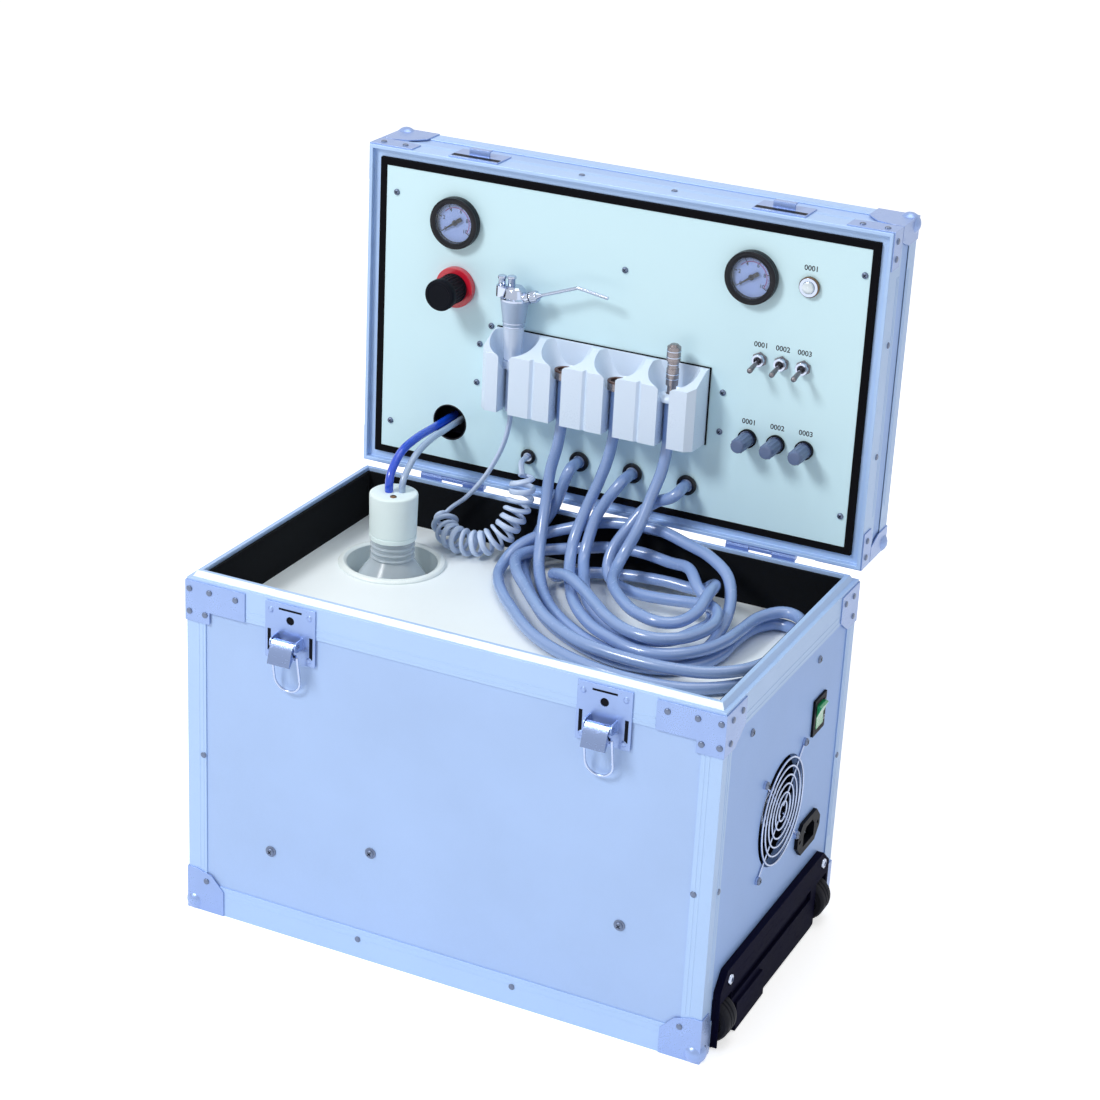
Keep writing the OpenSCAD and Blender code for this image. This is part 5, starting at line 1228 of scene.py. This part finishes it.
@dataclass
class RightSide:
    """What is fitted in the right wall: switch, inlet, fan and its guard."""

    panel_x: float = 224.0
    inlet: tuple[float, float] = (66.6, 99.5)
    switch: tuple[float, float] = (68.5, 204.0)
    fan_z: float = 150.0
    fan_x: float = 192.0
    hub_out: float = 22.55
    mark: tuple[float, float, float] = (1.95, 10.9, 7.0)

    def pins(self) -> None:
        """Adds the inlet's bright pins."""
        pins = Draft()
        for y, z in ((-6, -2.5), (6, -2.5), (0, 2.5)):
            at = Vector((self.panel_x - 13.8, self.inlet[0] + y, self.inlet[1] + z))
            pins.prism([(-1.2, -2.2), (1.2, -2.2), (1.2, 2.2), (-1.2, 2.2)], at, (0, 1, 0), UP,
                       RIGHT, 12)
        pins.piece("inlet_pins", CHROME, "base", 30, 0.4)

    def fan_label(self) -> None:
        """Adds the pale ring and stripes on the motor's hub, which turn with the fan."""
        hub = Draft()
        face = Vector((self.fan_x + self.hub_out, 0, self.fan_z))
        hub.lathe([(13.2, 0), (15.4, 0), (15.4, 0.25), (13.2, 0.25), (13.2, 0)], face, RIGHT, 48)
        for k in range(3):
            a = 2 * math.pi * k / 3
            hub.lathe([(0, 0), (1.5, 0), (1.2, 0.3), (0, 0.35)],
                      face + Vector((0, 8.5 * math.cos(a), 8.5 * math.sin(a))), RIGHT, 20)
        hub.piece("fan_hub_ring", WIRE, "fan_rotor", 40)

    def build(self) -> None:
        """Dresses the fittings of the right wall."""
        softened("switch_bezel", BLACK, 0.6, steps=3)
        softened("rocker", GREEN, 0.7, steps=3)
        softened("power_inlet", BLACK, 0.7, steps=3)
        softened("fan_frame", BLACK, 0.5)
        softened("fan_rotor", BLACK, 0.25)
        softened("fan_guard", WIRE, 0.0, soft=60)
        self.pins()
        self.fan_label()
        y, z = self.switch
        out, aside, apart = self.mark
        marks = Draft()
        marks.prism([(-0.5, -2.2), (0.5, -2.2), (0.5, 2.2), (-0.5, 2.2)],
                    (self.panel_x + out, y + aside, z + apart), (0, 1, 0), UP, RIGHT, 0.15)
        marks.lathe([(1.3, 0), (1.9, 0), (1.9, 0.15), (1.3, 0.15), (1.3, 0)],
                    (self.panel_x + out, y + aside, z - apart), RIGHT, 24)
        marks.piece("switch_marks", INK_LIGHT, "base", 30)


@dataclass
class RunningGear:
    """Kick plate with its bright screws, both wheels and the pull handle."""

    kick_face: float = 228.5
    screws: tuple = ((-96, 53), (104, 53))
    axle: tuple[float, float] = (219.0, 20.5)
    wheel_y: float = 102.0
    wheel_r: float = 18.0
    wheel_w: float = 20.0
    rod_y: float = 100.0
    rod_z: float = 20.0
    grip_x: float = -235.0
    grip_r: float = 8.0

    def wheel(self, node: str, s: int) -> None:
        """Builds one wheel: a grooved tyre round a pale hub."""
        r, w = self.wheel_r, self.wheel_w / 2
        at = Vector((self.axle[0], s * self.wheel_y, self.axle[1]))
        profile = [(11.2, -w + 1.2), (12.0, -w), (r - 2.0, -w), (r - 0.5, -w + 1.3),
                   (r - 0.05, -w + 3.2), (r - 0.05, -3.2), (r - 0.9, -2.6), (r - 0.9, -1.8),
                   (r - 0.05, -1.2), (r - 0.05, 1.2), (r - 0.9, 1.8), (r - 0.9, 2.6),
                   (r - 0.05, 3.2), (r - 0.05, w - 3.2), (r - 0.5, w - 1.3), (r - 2.0, w),
                   (12.0, w), (11.2, w - 1.2)]
        Draft().lathe(profile, at, (0, 1, 0), 64).piece(node + "_tyre", TYRE, node, 40,
                                                        replaces=(node,))
        hub = [(3.05, -w + 1.2), (5.0, -w + 0.8), (6.0, -w + 2.2), (10.4, -w + 2.2),
               (11.2, -w + 1.0), (11.25, -w + 1.0), (11.25, w - 1.0), (10.4, w - 2.2),
               (6.0, w - 2.2), (5.0, w - 0.8), (3.05, w - 1.2), (3.05, -w + 1.2)]
        Draft().lathe(hub, at, (0, 1, 0), 48).piece(node + "_hub", HUB, node, 35)

    def build(self) -> None:
        """Dresses the kick plate, wheels and handle."""
        softened("kick_plate", NAVY, 1.0, steps=3)
        heads = Draft()
        for y, z in self.screws:
            heads.lathe([(0, 0), (4.3, 0), (4.3, 0.7), (3.9, 1.4), (2.8, 1.9), (2.0, 2.0),
                         (1.9, 1.2), (0, 1.2)], (self.kick_face + 1.0, y, z), RIGHT, 32)
        heads.piece("kick_screws", CHROME, "base", 35)
        self.wheel("front_wheel", -1)
        self.wheel("rear_wheel", 1)
        softened("handle_sleeves", ALLOY, 0.4)
        softened("pull_handle", CHROME, 0.5)
        half = self.rod_y - 4

        def rib(angle: float, height: float) -> float:
            """Returns the grip's finger ridges."""
            return 0.35 * math.cos(height * 2 * math.pi / 9.0) if 4 < height < 2 * half - 4 else 0.0

        steps = [(self.grip_r - 0.1, 0), (self.grip_r + 0.5, 0.8)]
        steps += [(self.grip_r + 0.6, 2 + k * 1.5) for k in range(int((2 * half - 4) / 1.5))]
        steps += [(self.grip_r + 0.5, 2 * half - 0.8), (self.grip_r - 0.1, 2 * half)]
        Draft().lathe(steps, (self.grip_x, -half, self.rod_z), (0, 1, 0), 40, rib).piece(
            "handle_grip", BLACK, "pull_handle", 50)
        for node, finish in (("compressor", IRON), ("air_tank", TANK)):
            softened(node, finish, 0.8)


@dataclass
class Bottle:
    """The water bottle: clear body, water, ringed neck and white cap with two screws."""

    x: float = -145.4
    y: float = 45.7
    cap_low: float = 278.0
    cap_high: float = 318.0
    cap_r: float = 20.0
    screws: tuple = ((-9, 7), (5, -10))

    def build(self) -> None:
        """Builds the bottle and its cap."""
        at = Vector((self.x, self.y, 0))
        softened("bottle", BOTTLE, 0.3, soft=50)
        Draft().lathe([(0, 135.2), (29.5, 135.2), (32.9, 139), (32.9, 214), (31.6, 214.6),
                       (0, 214)], at, UP, 72).piece("bottle_water", WATER, "bottle", 50)
        neck = Draft()
        for z in (262.5, 267.5, 272.5):
            neck.lathe([(17.05, z - 1.1), (18.0, z - 0.8), (18.5, z), (18.0, z + 0.8),
                        (17.05, z + 1.1), (17.05, z - 1.1)], at, UP, 64)
        neck.piece("bottle_neck_rings", BOTTLE, "bottle", 50)
        low, high, r = self.cap_low, self.cap_high, self.cap_r
        profile = [(14.6, low + 21), (14.6, low), (r - 0.9, low), (r - 0.6, low + 0.4),
                   (r - 0.6, low + 3.6), (r - 1.2, low + 4.0), (r - 1.2, low + 4.7),
                   (r - 0.5, low + 5.2), (r, high - 1.9), (r - 0.3, high - 0.9),
                   (r - 1.1, high - 0.2), (r - 2.0, high), (0, high)]
        Draft().lathe(profile, at, UP, 96).piece("bottle_cap_shell", CAP, "bottle_cap", 35,
                                                 replaces=("bottle_cap",))
        heads = Draft()
        for x, y in self.screws:
            heads.lathe([(0, -0.5), (2.7, -0.5), (2.7, 0.5), (2.3, 1.0), (1.3, 1.3), (1.2, 0.8),
                         (0, 0.8)], at + Vector((x, y, high)), UP, 24)
        heads.piece("bottle_cap_screws", BRASS, "bottle_cap", 35)


# ---------------------------------------------------------------- lid and control panel


@dataclass
class Lid:
    """The lid's shell with its ribs, hinges, gasket and the white control panel."""

    half_w: float = 225.0
    tall: float = 275.0
    deep: float = 60.0
    rib_from: float = 20.0
    rib_gap: float = 3.4
    rear_ribs: tuple[float, float] = (15.0, 11.6)
    corner: float = 39.0

    def ribs(self) -> None:
        """Draws the ribs of the lid's profiles on its top and sides."""
        draft, case = Draft(), Case()
        end = self.half_w - self.corner
        for v in (self.rib_from, self.rib_from + self.rib_gap,
                  *(self.deep - back for back in self.rear_ribs)):
            case.bar(draft, on_lid(-end, v, self.tall), on_lid(end, v, self.tall), UP)
            for s in (-1, 1):
                case.bar(draft, on_lid(s * self.half_w, v, self.corner),
                         on_lid(s * self.half_w, v, self.tall - self.corner), Vector((s, 0, 0)))
        draft.piece("lid_frame_ribs", ALLOY, "lid", 30)

    def catches(self) -> None:
        """Lays flat black sheets of painted shade in the mouth of each catch and on the lid's top
        before it.
        """
        draft = Draft()
        for s in (-1, 1):
            draft.prism([(-8.6, 0), (8.6, 0), (8.6, 3.4), (-8.6, 3.4)],
                        on_lid(s * LATCH_X, 15.98, self.tall + 1.4), RIGHT, UP, (0, 1, 0), 0.15)
            draft.prism([(-21, 0), (21, 0), (21, 5.2), (-21, 5.2)],
                        on_lid(s * LATCH_X, 5.6, self.tall + 1.2), RIGHT, (0, 1, 0), UP, 0.25)
        draft.piece("catch_mouth_shades", BLACK, "lid", 30)

    def build(self) -> None:
        """Dresses the lid."""
        # Painted shade: the lid's right-hand faces get the darker copy of the laminate.
        softened("lid_panels", SKIN, 0.3, splits=((SKIN_SHADED_SIDE, lambda p: p.x > 220),))
        softened("lid_frame", ALLOY, 0.5)
        softened("lid_hardware", PLATE, 0.35)
        softened("lid_hinges", PLATE, 0.3)
        softened("panel_gasket", FOAM, 0.5)
        softened("control_panel", PANEL, 0.3)
        self.ribs()
        self.catches()
        Heads("lid_fasteners", "lid", RIVET).build()


@dataclass
class Gauge:
    """A pressure gauge: rounded bezel, scale with figures, coloured arc and hub."""

    side: str
    x: float
    h: float = 222.0
    case_r: float = 21.25
    face_r: float = 16.2
    zero: float = 215.0
    sweep: float = 250.0
    marks: int = 50
    ink_v: tuple[float, float] = (0.34, 0.28)
    figures_v: float = 0.29
    hand_v: float = -0.85
    figures: tuple[int, ...] = (0, 2, 4, 6, 8, 10)

    def polar(self, radius: float, angle: float, v: float) -> Vector:
        """Returns a point on the face, angle in degrees anticlockwise from the right."""
        a = math.radians(angle)
        return on_lid(self.x + radius * math.cos(a), v, self.h + radius * math.sin(a))

    def mark(self, draft: Draft, angle: float, inner: float, outer: float, wide: float) -> None:
        """Adds one line of the scale."""
        a = math.radians(angle)
        along = Vector((math.cos(a), 0, math.sin(a)))
        across = Vector((-math.sin(a), 0, math.cos(a)))
        w = wide / 2
        draft.prism([(inner, -w), (outer, -w), (outer, w), (inner, w)],
                    on_lid(self.x, self.ink_v[0], self.h), along, across, FRONT, 0.05)

    def arc(self, draft: Draft, first: float, last: float, inner: float, outer: float) -> None:
        """Adds a flat arc between two shares of the scale."""
        rings = []
        low, high = self.ink_v
        for k in range(25):
            angle = self.zero - self.sweep * (first + (last - first) * k / 24)
            rings.append([self.polar(inner, angle, low), self.polar(outer, angle, low),
                          self.polar(outer, angle, high), self.polar(inner, angle, high)])
        draft.skin(rings)

    def build(self) -> None:
        """Builds the gauge's visible parts."""
        at = on_lid(self.x, 0.45, self.h)
        face = [(0, 0), (self.face_r, 0), (self.face_r, 0.1), (0, 0.1)]
        Draft().lathe(face, at, FRONT, 64).piece(self.side + "_gauge_dial", DIAL, "lid", 30)
        r = self.case_r
        bezel = [(r - 4.7, 0), (r - 4.5, 4.2), (r - 3.9, 5.6), (r - 2.6, 6.2), (r - 1.0, 5.9),
                 (r - 0.1, 4.8), (r + 0.25, 3.0), (r + 0.25, 0.4), (r - 0.2, 0), (r - 4.7, 0)]
        Draft().lathe(bezel, on_lid(self.x, 1.6, self.h), FRONT, 96).piece(
            self.side + "_gauge_bezel", GLOSS, "lid", 40)
        self.scale()
        self.hand()

    def scale(self) -> None:
        """Prints the scale, its figures and the coloured arc."""
        ink, red = Draft(), Draft()
        for k in range(self.marks + 1):
            angle = self.zero - self.sweep * k / self.marks
            long = k % 10 == 0
            self.mark(ink, angle, 12.9 if long else 14.0, 15.4, 0.8 if long else 0.34)
        for k, value in enumerate(self.figures):
            angle = self.zero - self.sweep * k / (len(self.figures) - 1)
            ink.label(str(value), 4.4, self.polar(10.9, angle, self.figures_v), RIGHT, UP)
        self.arc(ink, 0.0, 1.0, 15.4, 15.8)
        self.arc(red, 0.3, 1.0, 12.2, 12.8)
        for k in range(self.marks // 2, self.marks + 1, 2):
            self.mark(red, self.zero - self.sweep * k / self.marks, 13.3, 13.9, 0.45)
        ink.piece(self.side + "_gauge_scale", INK, "lid", 30)
        red.piece(self.side + "_gauge_arc", VIOLET, "lid", 30)

    def hand(self) -> None:
        """Builds the needle and its hub."""
        needle = Draft()
        a = math.radians(self.zero)
        along = Vector((math.cos(a), 0, math.sin(a)))
        across = Vector((-math.sin(a), 0, math.cos(a)))
        hand = [(-7.2, -1.3), (-6.0, -1.8), (-3.6, -1.7), (0, -1.1), (12.8, -0.32), (13.4, 0),
                (12.8, 0.32), (0, 1.1), (-3.6, 1.7), (-6.0, 1.8), (-7.2, 1.3)]
        needle.prism(hand, on_lid(self.x, self.hand_v, self.h), along, across, FRONT, 0.55)
        needle.lathe([(0.9, -0.2), (2.2, -0.2), (2.4, 0.1), (2.3, 0.75), (1.4, 0.95), (0.9, 0.95),
                      (0.9, -0.2)], on_lid(self.x, self.hand_v, self.h), FRONT, 32)
        needle.piece(self.side + "_needle_hand", NEEDLE, self.side + "_needle", 30,
                     replaces=(self.side + "_needle",))


@dataclass
class Regulator:
    """The pressure regulator: red ring, ribbed black knob with a wide grip."""

    x: float = -142.0
    h: float = 168.0
    knob_r: float = 13.0
    foot_v: float = -3.3

    def build(self) -> None:
        """Builds the knob and dresses the ring."""
        softened("regulator_body", RED, 0.8, steps=3)
        r = self.knob_r

        def rib(angle: float, height: float) -> float:
            """Returns the knob's ribs."""
            return 0.35 * math.cos(24 * angle) if 4.5 < height < 17.5 else 0.0

        profile = [(0, -14.2), (3.9, -14.2), (3.9, 0), (r - 1.2, 0), (r - 0.5, 0.6), (r - 0.5, 3.0),
                   (r - 1.2, 3.6), (r - 1.2, 4.6), (r - 1.1, 11), (r - 1.2, 17.4), (r - 1.2, 18),
                   (r - 0.1, 18.8), (r + 0.1, 20), (r + 0.1, 24.2), (r - 0.5, 25.4), (r - 1.7, 26),
                   (r - 3.0, 26), (r - 3.4, 25.6), (0, 25.6)]
        Draft().lathe(profile, on_lid(self.x, self.foot_v, self.h), FRONT, 192, rib).piece(
            "regulator_grip", BLACK, "regulator_knob", 35, replaces=("regulator_knob",))


@dataclass
class Controls:
    """The push button, three toggles, three needle valves, hose glands and their figures."""

    button: tuple[float, float] = (162.0, 222.0)
    toggles: tuple[float, float] = (144.5, 156.5)
    toggle_pitch: float = 18.2
    toggle_drop: float = 11.0
    valves: tuple[float, float] = (145.4, 89.5)
    valve_pitch: float = 24.0
    glands: tuple = ((-23, 39.5), (25, 39.5), (73, 39.5))
    cord: tuple[float, float] = (-69.6, 34.0)
    hole: tuple[float, float] = (-144.5, 48.5)
    nut_r: float = 6.3

    def bushings(self) -> None:
        """Dresses the metal in the panel and adds nuts, rings and glands round it."""
        softened("panel_bushings", CHROME, 0.3,
                 splits=((BLACK, lambda p: p.y > LID_FOOT.y + BEHIND_PANEL),))
        x, h = self.button
        Draft().lathe(ring(5.3, 8.3, 0, 3.2, 0.6), on_lid(x, PANEL_FACE, h), FRONT, 48).piece(
            "button_collar", BRASS, "lid", 35)
        nuts, rings, glands = Draft(), Draft(), Draft()
        for i in (-1, 0, 1):
            tx = self.toggles[0] + i * self.toggle_pitch
            hexagon = [(self.nut_r * math.cos(math.radians(30 + 60 * k)),
                        self.nut_r * math.sin(math.radians(30 + 60 * k))) for k in range(6)]
            nuts.prism(hexagon, on_lid(tx, PANEL_FACE, self.toggles[1]), RIGHT, UP, FRONT, 2.3)
            vx = self.valves[0] + i * self.valve_pitch
            at = on_lid(vx, PANEL_FACE, self.valves[1])
            rings.lathe(ring(6.6, 7.7, 0, 3.3, 0.4), at, FRONT, 48)
        for x, h in self.glands:
            glands.lathe(ring(5.3, 8.4, 0, 4.2, 1.2), on_lid(x, PANEL_FACE, h), FRONT, 48)
        cord = on_lid(self.cord[0], PANEL_FACE, self.cord[1])
        glands.lathe(ring(3.4, 6.4, 0, 3.6, 1.0), cord, FRONT, 40)
        hole = on_lid(self.hole[0], PANEL_FACE, self.hole[1])
        glands.lathe(ring(14.5, 15.6, -2.2, 0.35, 0.3), hole, FRONT, 64)
        nuts.piece("toggle_nuts", BAT, "lid", 30, 0.4)
        rings.piece("valve_rings", BLACK, "lid", 35)
        glands.piece("hose_glands", GLAND, "lid", 35)

    def movers(self) -> None:
        """Builds the button, the toggles' bats and the valves' knobs."""
        x, h = self.button
        Draft().lathe([(0, 0), (4.9, 0), (4.9, 4.6), (4.5, 5.5), (3.4, 6.0), (1.5, 6.1),
                       (0, 6.1)], on_lid(x, 2.5, h), FRONT, 40).piece(
            "button_face", BUTTON, "push_button", 40, replaces=("push_button",))
        drop = math.radians(self.toggle_drop)
        way = Vector((0, -math.cos(drop), -math.sin(drop)))

        def rib(angle: float, height: float) -> float:
            """Returns the knob's ribs."""
            return 0.5 * max(0.0, math.cos(12 * angle)) if 1.5 < height < 18.5 else 0.0

        for k in range(3):
            tx = self.toggles[0] + (k - 1) * self.toggle_pitch
            bat = Draft().lathe([(0, -2.6), (1.3, -2.25), (2.25, -1.3), (2.6, 0), (2.25, 1.3),
                                 (1.6, 2.1), (1.5, 4), (1.75, 8), (2.15, 16), (2.25, 18.2),
                                 (1.9, 19.5), (1.0, 20.1), (0, 20.2)],
                                on_lid(tx, 0, self.toggles[1]), way, 32)
            bat.piece(f"toggle_{k + 1}_bat", BAT, f"toggle_{k + 1}", 50,
                      replaces=(f"toggle_{k + 1}",))
            vx = self.valves[0] + (k - 1) * self.valve_pitch
            knob = Draft().lathe([(2.05, 11), (2.05, 0), (5.2, 0), (5.8, 0.6), (5.8, 1.4),
                                  (5.8, 1.7), (5.85, 18.2), (5.8, 18.6), (5.5, 20), (4.7, 21),
                                  (3.6, 21.2), (0, 21.0)],
                                 on_lid(vx, 0.2, self.valves[1]), FRONT, 144, rib)
            knob.piece(f"valve_{k + 1}_grip", KNOB, f"valve_knob_{k + 1}", 35,
                       replaces=(f"valve_knob_{k + 1}",))

    def figures(self) -> None:
        """Prints plain numbers over the controls."""
        ink = Draft()
        rows = [(self.toggles[0] + i * self.toggle_pitch, self.toggles[1] + 10.6, i + 2)
                for i in (-1, 0, 1)]
        rows += [(self.valves[0] + i * self.valve_pitch, self.valves[1] + 12.6, i + 2)
                 for i in (-1, 0, 1)]
        rows.append((self.button[0], self.button[1] + 13.4, 1))
        for x, h, value in rows:
            ink.label(f"{value:04d}", 6.0, on_lid(x, INK_FACE, h + 1.0), RIGHT, UP)
        ink.piece("panel_figures", INK, "lid", 30)

    def build(self) -> None:
        """Builds everything that is fitted in the panel besides its gauges."""
        self.bushings()
        self.movers()
        self.figures()


@dataclass
class Holder:
    """The white instrument holder on its black backing, with its couplings and adaptor."""

    low: float = 77.0
    high: float = 141.0
    left: float = -102.5
    right: float = 85.5
    slots: tuple[float, ...] = (-81.0, -34.0, 13.0, 60.0)
    axis_v: float = -13.0
    seat: float = 114.0

    def build(self) -> None:
        """Dresses the holder and what it carries."""
        softened("instrument_holder", HOLDER, 1.3, steps=4)
        outline = [(self.left - 0.7, self.low - 0.5), (self.right + 1.1, self.low - 0.5),
                   (self.right + 1.1, self.high + 0.9), (self.left - 0.7, self.high + 0.9)]
        Draft().prism(outline, on_lid(0, PANEL_FACE, 0), RIGHT, UP, FRONT, 1.2).piece(
            "holder_backing", BLACK, "lid", 30, 0.3)
        inner = [(self.left, self.low + 0.4), (self.right, self.low + 0.4),
                 (self.right, self.high), (self.left, self.high)]
        Draft().prism(inner, on_lid(0, 1.7, 0), RIGHT, UP, FRONT, 0.7).piece(
            "holder_back", HOLDER, "lid", 30, 0.2)
        softened("hose_couplings", COUPLING, 0.5, steps=3)
        rims = Draft()
        for x in self.slots[1:3]:
            rims.lathe([(5.5, 0), (8.05, 0), (8.25, 0.5), (8.0, 1.3), (6.0, 1.5), (5.5, 1.0),
                        (5.5, 0)], on_lid(x, self.axis_v, self.seat + 6.4), UP, 48)
        rims.piece("coupling_rims", UMBER, "lid", 40)
        x = self.slots[3]
        at = on_lid(x, self.axis_v, self.seat)
        Draft().lathe([(8.1, 0.2), (9.8, 0.2), (10.6, 1.2), (10.6, 3.4), (9.6, 4.8), (5.4, 6.4),
                       (4.4, 6.2), (4.4, 5.2), (8.1, 5.0), (8.1, 0.2)], at, UP, 48).piece(
            "adaptor_saddle", HOLDER, "lid", 40)
        lip = Draft()
        for z, r in ((18, 5.25), (22, 5.25), (30, 4.65), (36, 5.85), (41, 5.85)):
            lip.lathe([(r - 0.4, z), (r, z + 0.2), (r, z + 0.8), (r - 0.4, z + 1.0), (r - 0.4, z)],
                      at, UP, 40)
        lip.piece("adaptor_rings", CHROME, "lid", 40)


@dataclass
class Syringe:
    """The three-way syringe: grey grip with a darker flare, bright head and bent nozzle."""

    x: float = -81.0
    v: float = -13.0
    head: float = 172.0
    tilt: float = 20.6
    collar: tuple[float, float] = (14.0, 4.0)
    bend: float = 29.0
    runs: tuple[float, float] = (38.0, 27.0)

    def build(self) -> None:
        """Builds the handle, the head's fine parts and the nozzle."""
        foot = LID_FOOT.z
        softened("syringe_body", GRIP, 0.5, soft=40, steps=3, splits=(
            (GRIP_DARK, lambda p: p.z > foot + 150.5 and p.z < foot + self.head + 0.2),
            (CHROME, lambda p: p.z > foot + self.head + 0.2)))
        trims = Draft()
        for h, r in ((121.5, 7.12), (150.2, 8.9), (153.4, 9.35)):
            trims.lathe([(r - 0.5, -0.5), (r + 0.15, -0.35), (r + 0.15, 0.35), (r - 0.4, 0.5),
                         (r - 0.5, -0.5)], on_lid(self.x, self.v, h), UP, 48)
        trims.piece("syringe_trims", CHROME, "syringe_body", 40)
        self.buttons()
        self.nozzle()

    def buttons(self) -> None:
        """Builds the caps of the water and the air button."""
        for k, dx in enumerate((-12.0, -3.5)):
            top = 12.2 + k
            Draft().lathe([(0, 0), (2.95, 0), (2.95, top - 3.2), (3.6, top - 2.4),
                           (3.75, top - 1.4), (3.4, top - 0.4), (2.4, top), (0, top + 0.1)],
                          on_lid(self.x + dx, self.v, self.head + 6.2), UP, 36).piece(
                f"syringe_button_{k + 1}_cap", CHROME, f"syringe_button_{k + 1}", 40,
                replaces=(f"syringe_button_{k + 1}",))

    def nozzle(self) -> None:
        """Builds the knurled collar and the bent tube."""
        a = math.radians(self.tilt)
        way = Vector((math.cos(a), 0, math.sin(a)))
        root = on_lid(self.x + self.collar[0], self.v, self.head + self.collar[1])

        def rib(angle: float, height: float) -> float:
            """Returns the collar's knurls."""
            return 0.25 * math.cos(20 * angle) if 0.8 < height < 5.8 else 0.0

        collar = Draft().lathe([(0, -5.3), (2.3, -5.3), (2.3, 0), (4.3, 0), (4.6, 0.4), (4.6, 1),
                                (4.6, 5.6), (4.6, 6.2), (4.2, 6.8), (3.5, 7.0), (3.1, 7.6),
                                (1.9, 9.6), (1.5, 10.4), (0, 10.4)], root, way, 120, rib)
        collar.piece("nozzle_collar", CHROME, "syringe_nozzle", 40)
        b = a - math.radians(self.bend)
        down = Vector((math.cos(b), 0, math.sin(b)))
        knee = root + way * (6 + self.runs[0])
        line = [root + way * 9] + [knee - way * 4, knee - way * 1.6]
        line += [knee + (way * (1 - t) * -0.4 + down * t * 0.4) for t in (0.0, 0.5, 1.0)]
        line += [knee + down * 1.6, knee + down * 4, knee + down * self.runs[1]]
        Draft().tube(line, 1.4, 20, (0, 1, 0)).piece("nozzle_tube", CHROME, "syringe_nozzle", 60,
                                                     replaces=("syringe_nozzle",))


# ---------------------------------------------------------------- every solid's own finish


def dress_nodes() -> None:
    """Gives every CAD node its finish, also where a piece stands for it."""
    for name, node in frame["nodes"].items():
        material = NODE_FINISH[name].material()
        if not node.material_slots:
            node.data.materials.append(material)
        for slot in node.material_slots:
            slot.material = material
    log.info("%d nodes dressed", len(frame["nodes"]))


def main() -> None:
    """Builds the sub-assemblies in order."""
    logging.basicConfig(level=logging.INFO, format="%(name)s: %(message)s")
    Studio().build()
    Hoses().build()
    CurlyCord().build()
    BottleTubes().build()
    Case().build()
    Latches().build()
    RightSide().build()
    RunningGear().build()
    Bottle().build()
    Lid().build()
    Gauge("left", -144.0).build()
    Gauge("right", 115.0).build()
    Regulator().build()
    Controls().build()
    Holder().build()
    Syringe().build()
    dress_nodes()


if __name__ == "__main__":
    main()
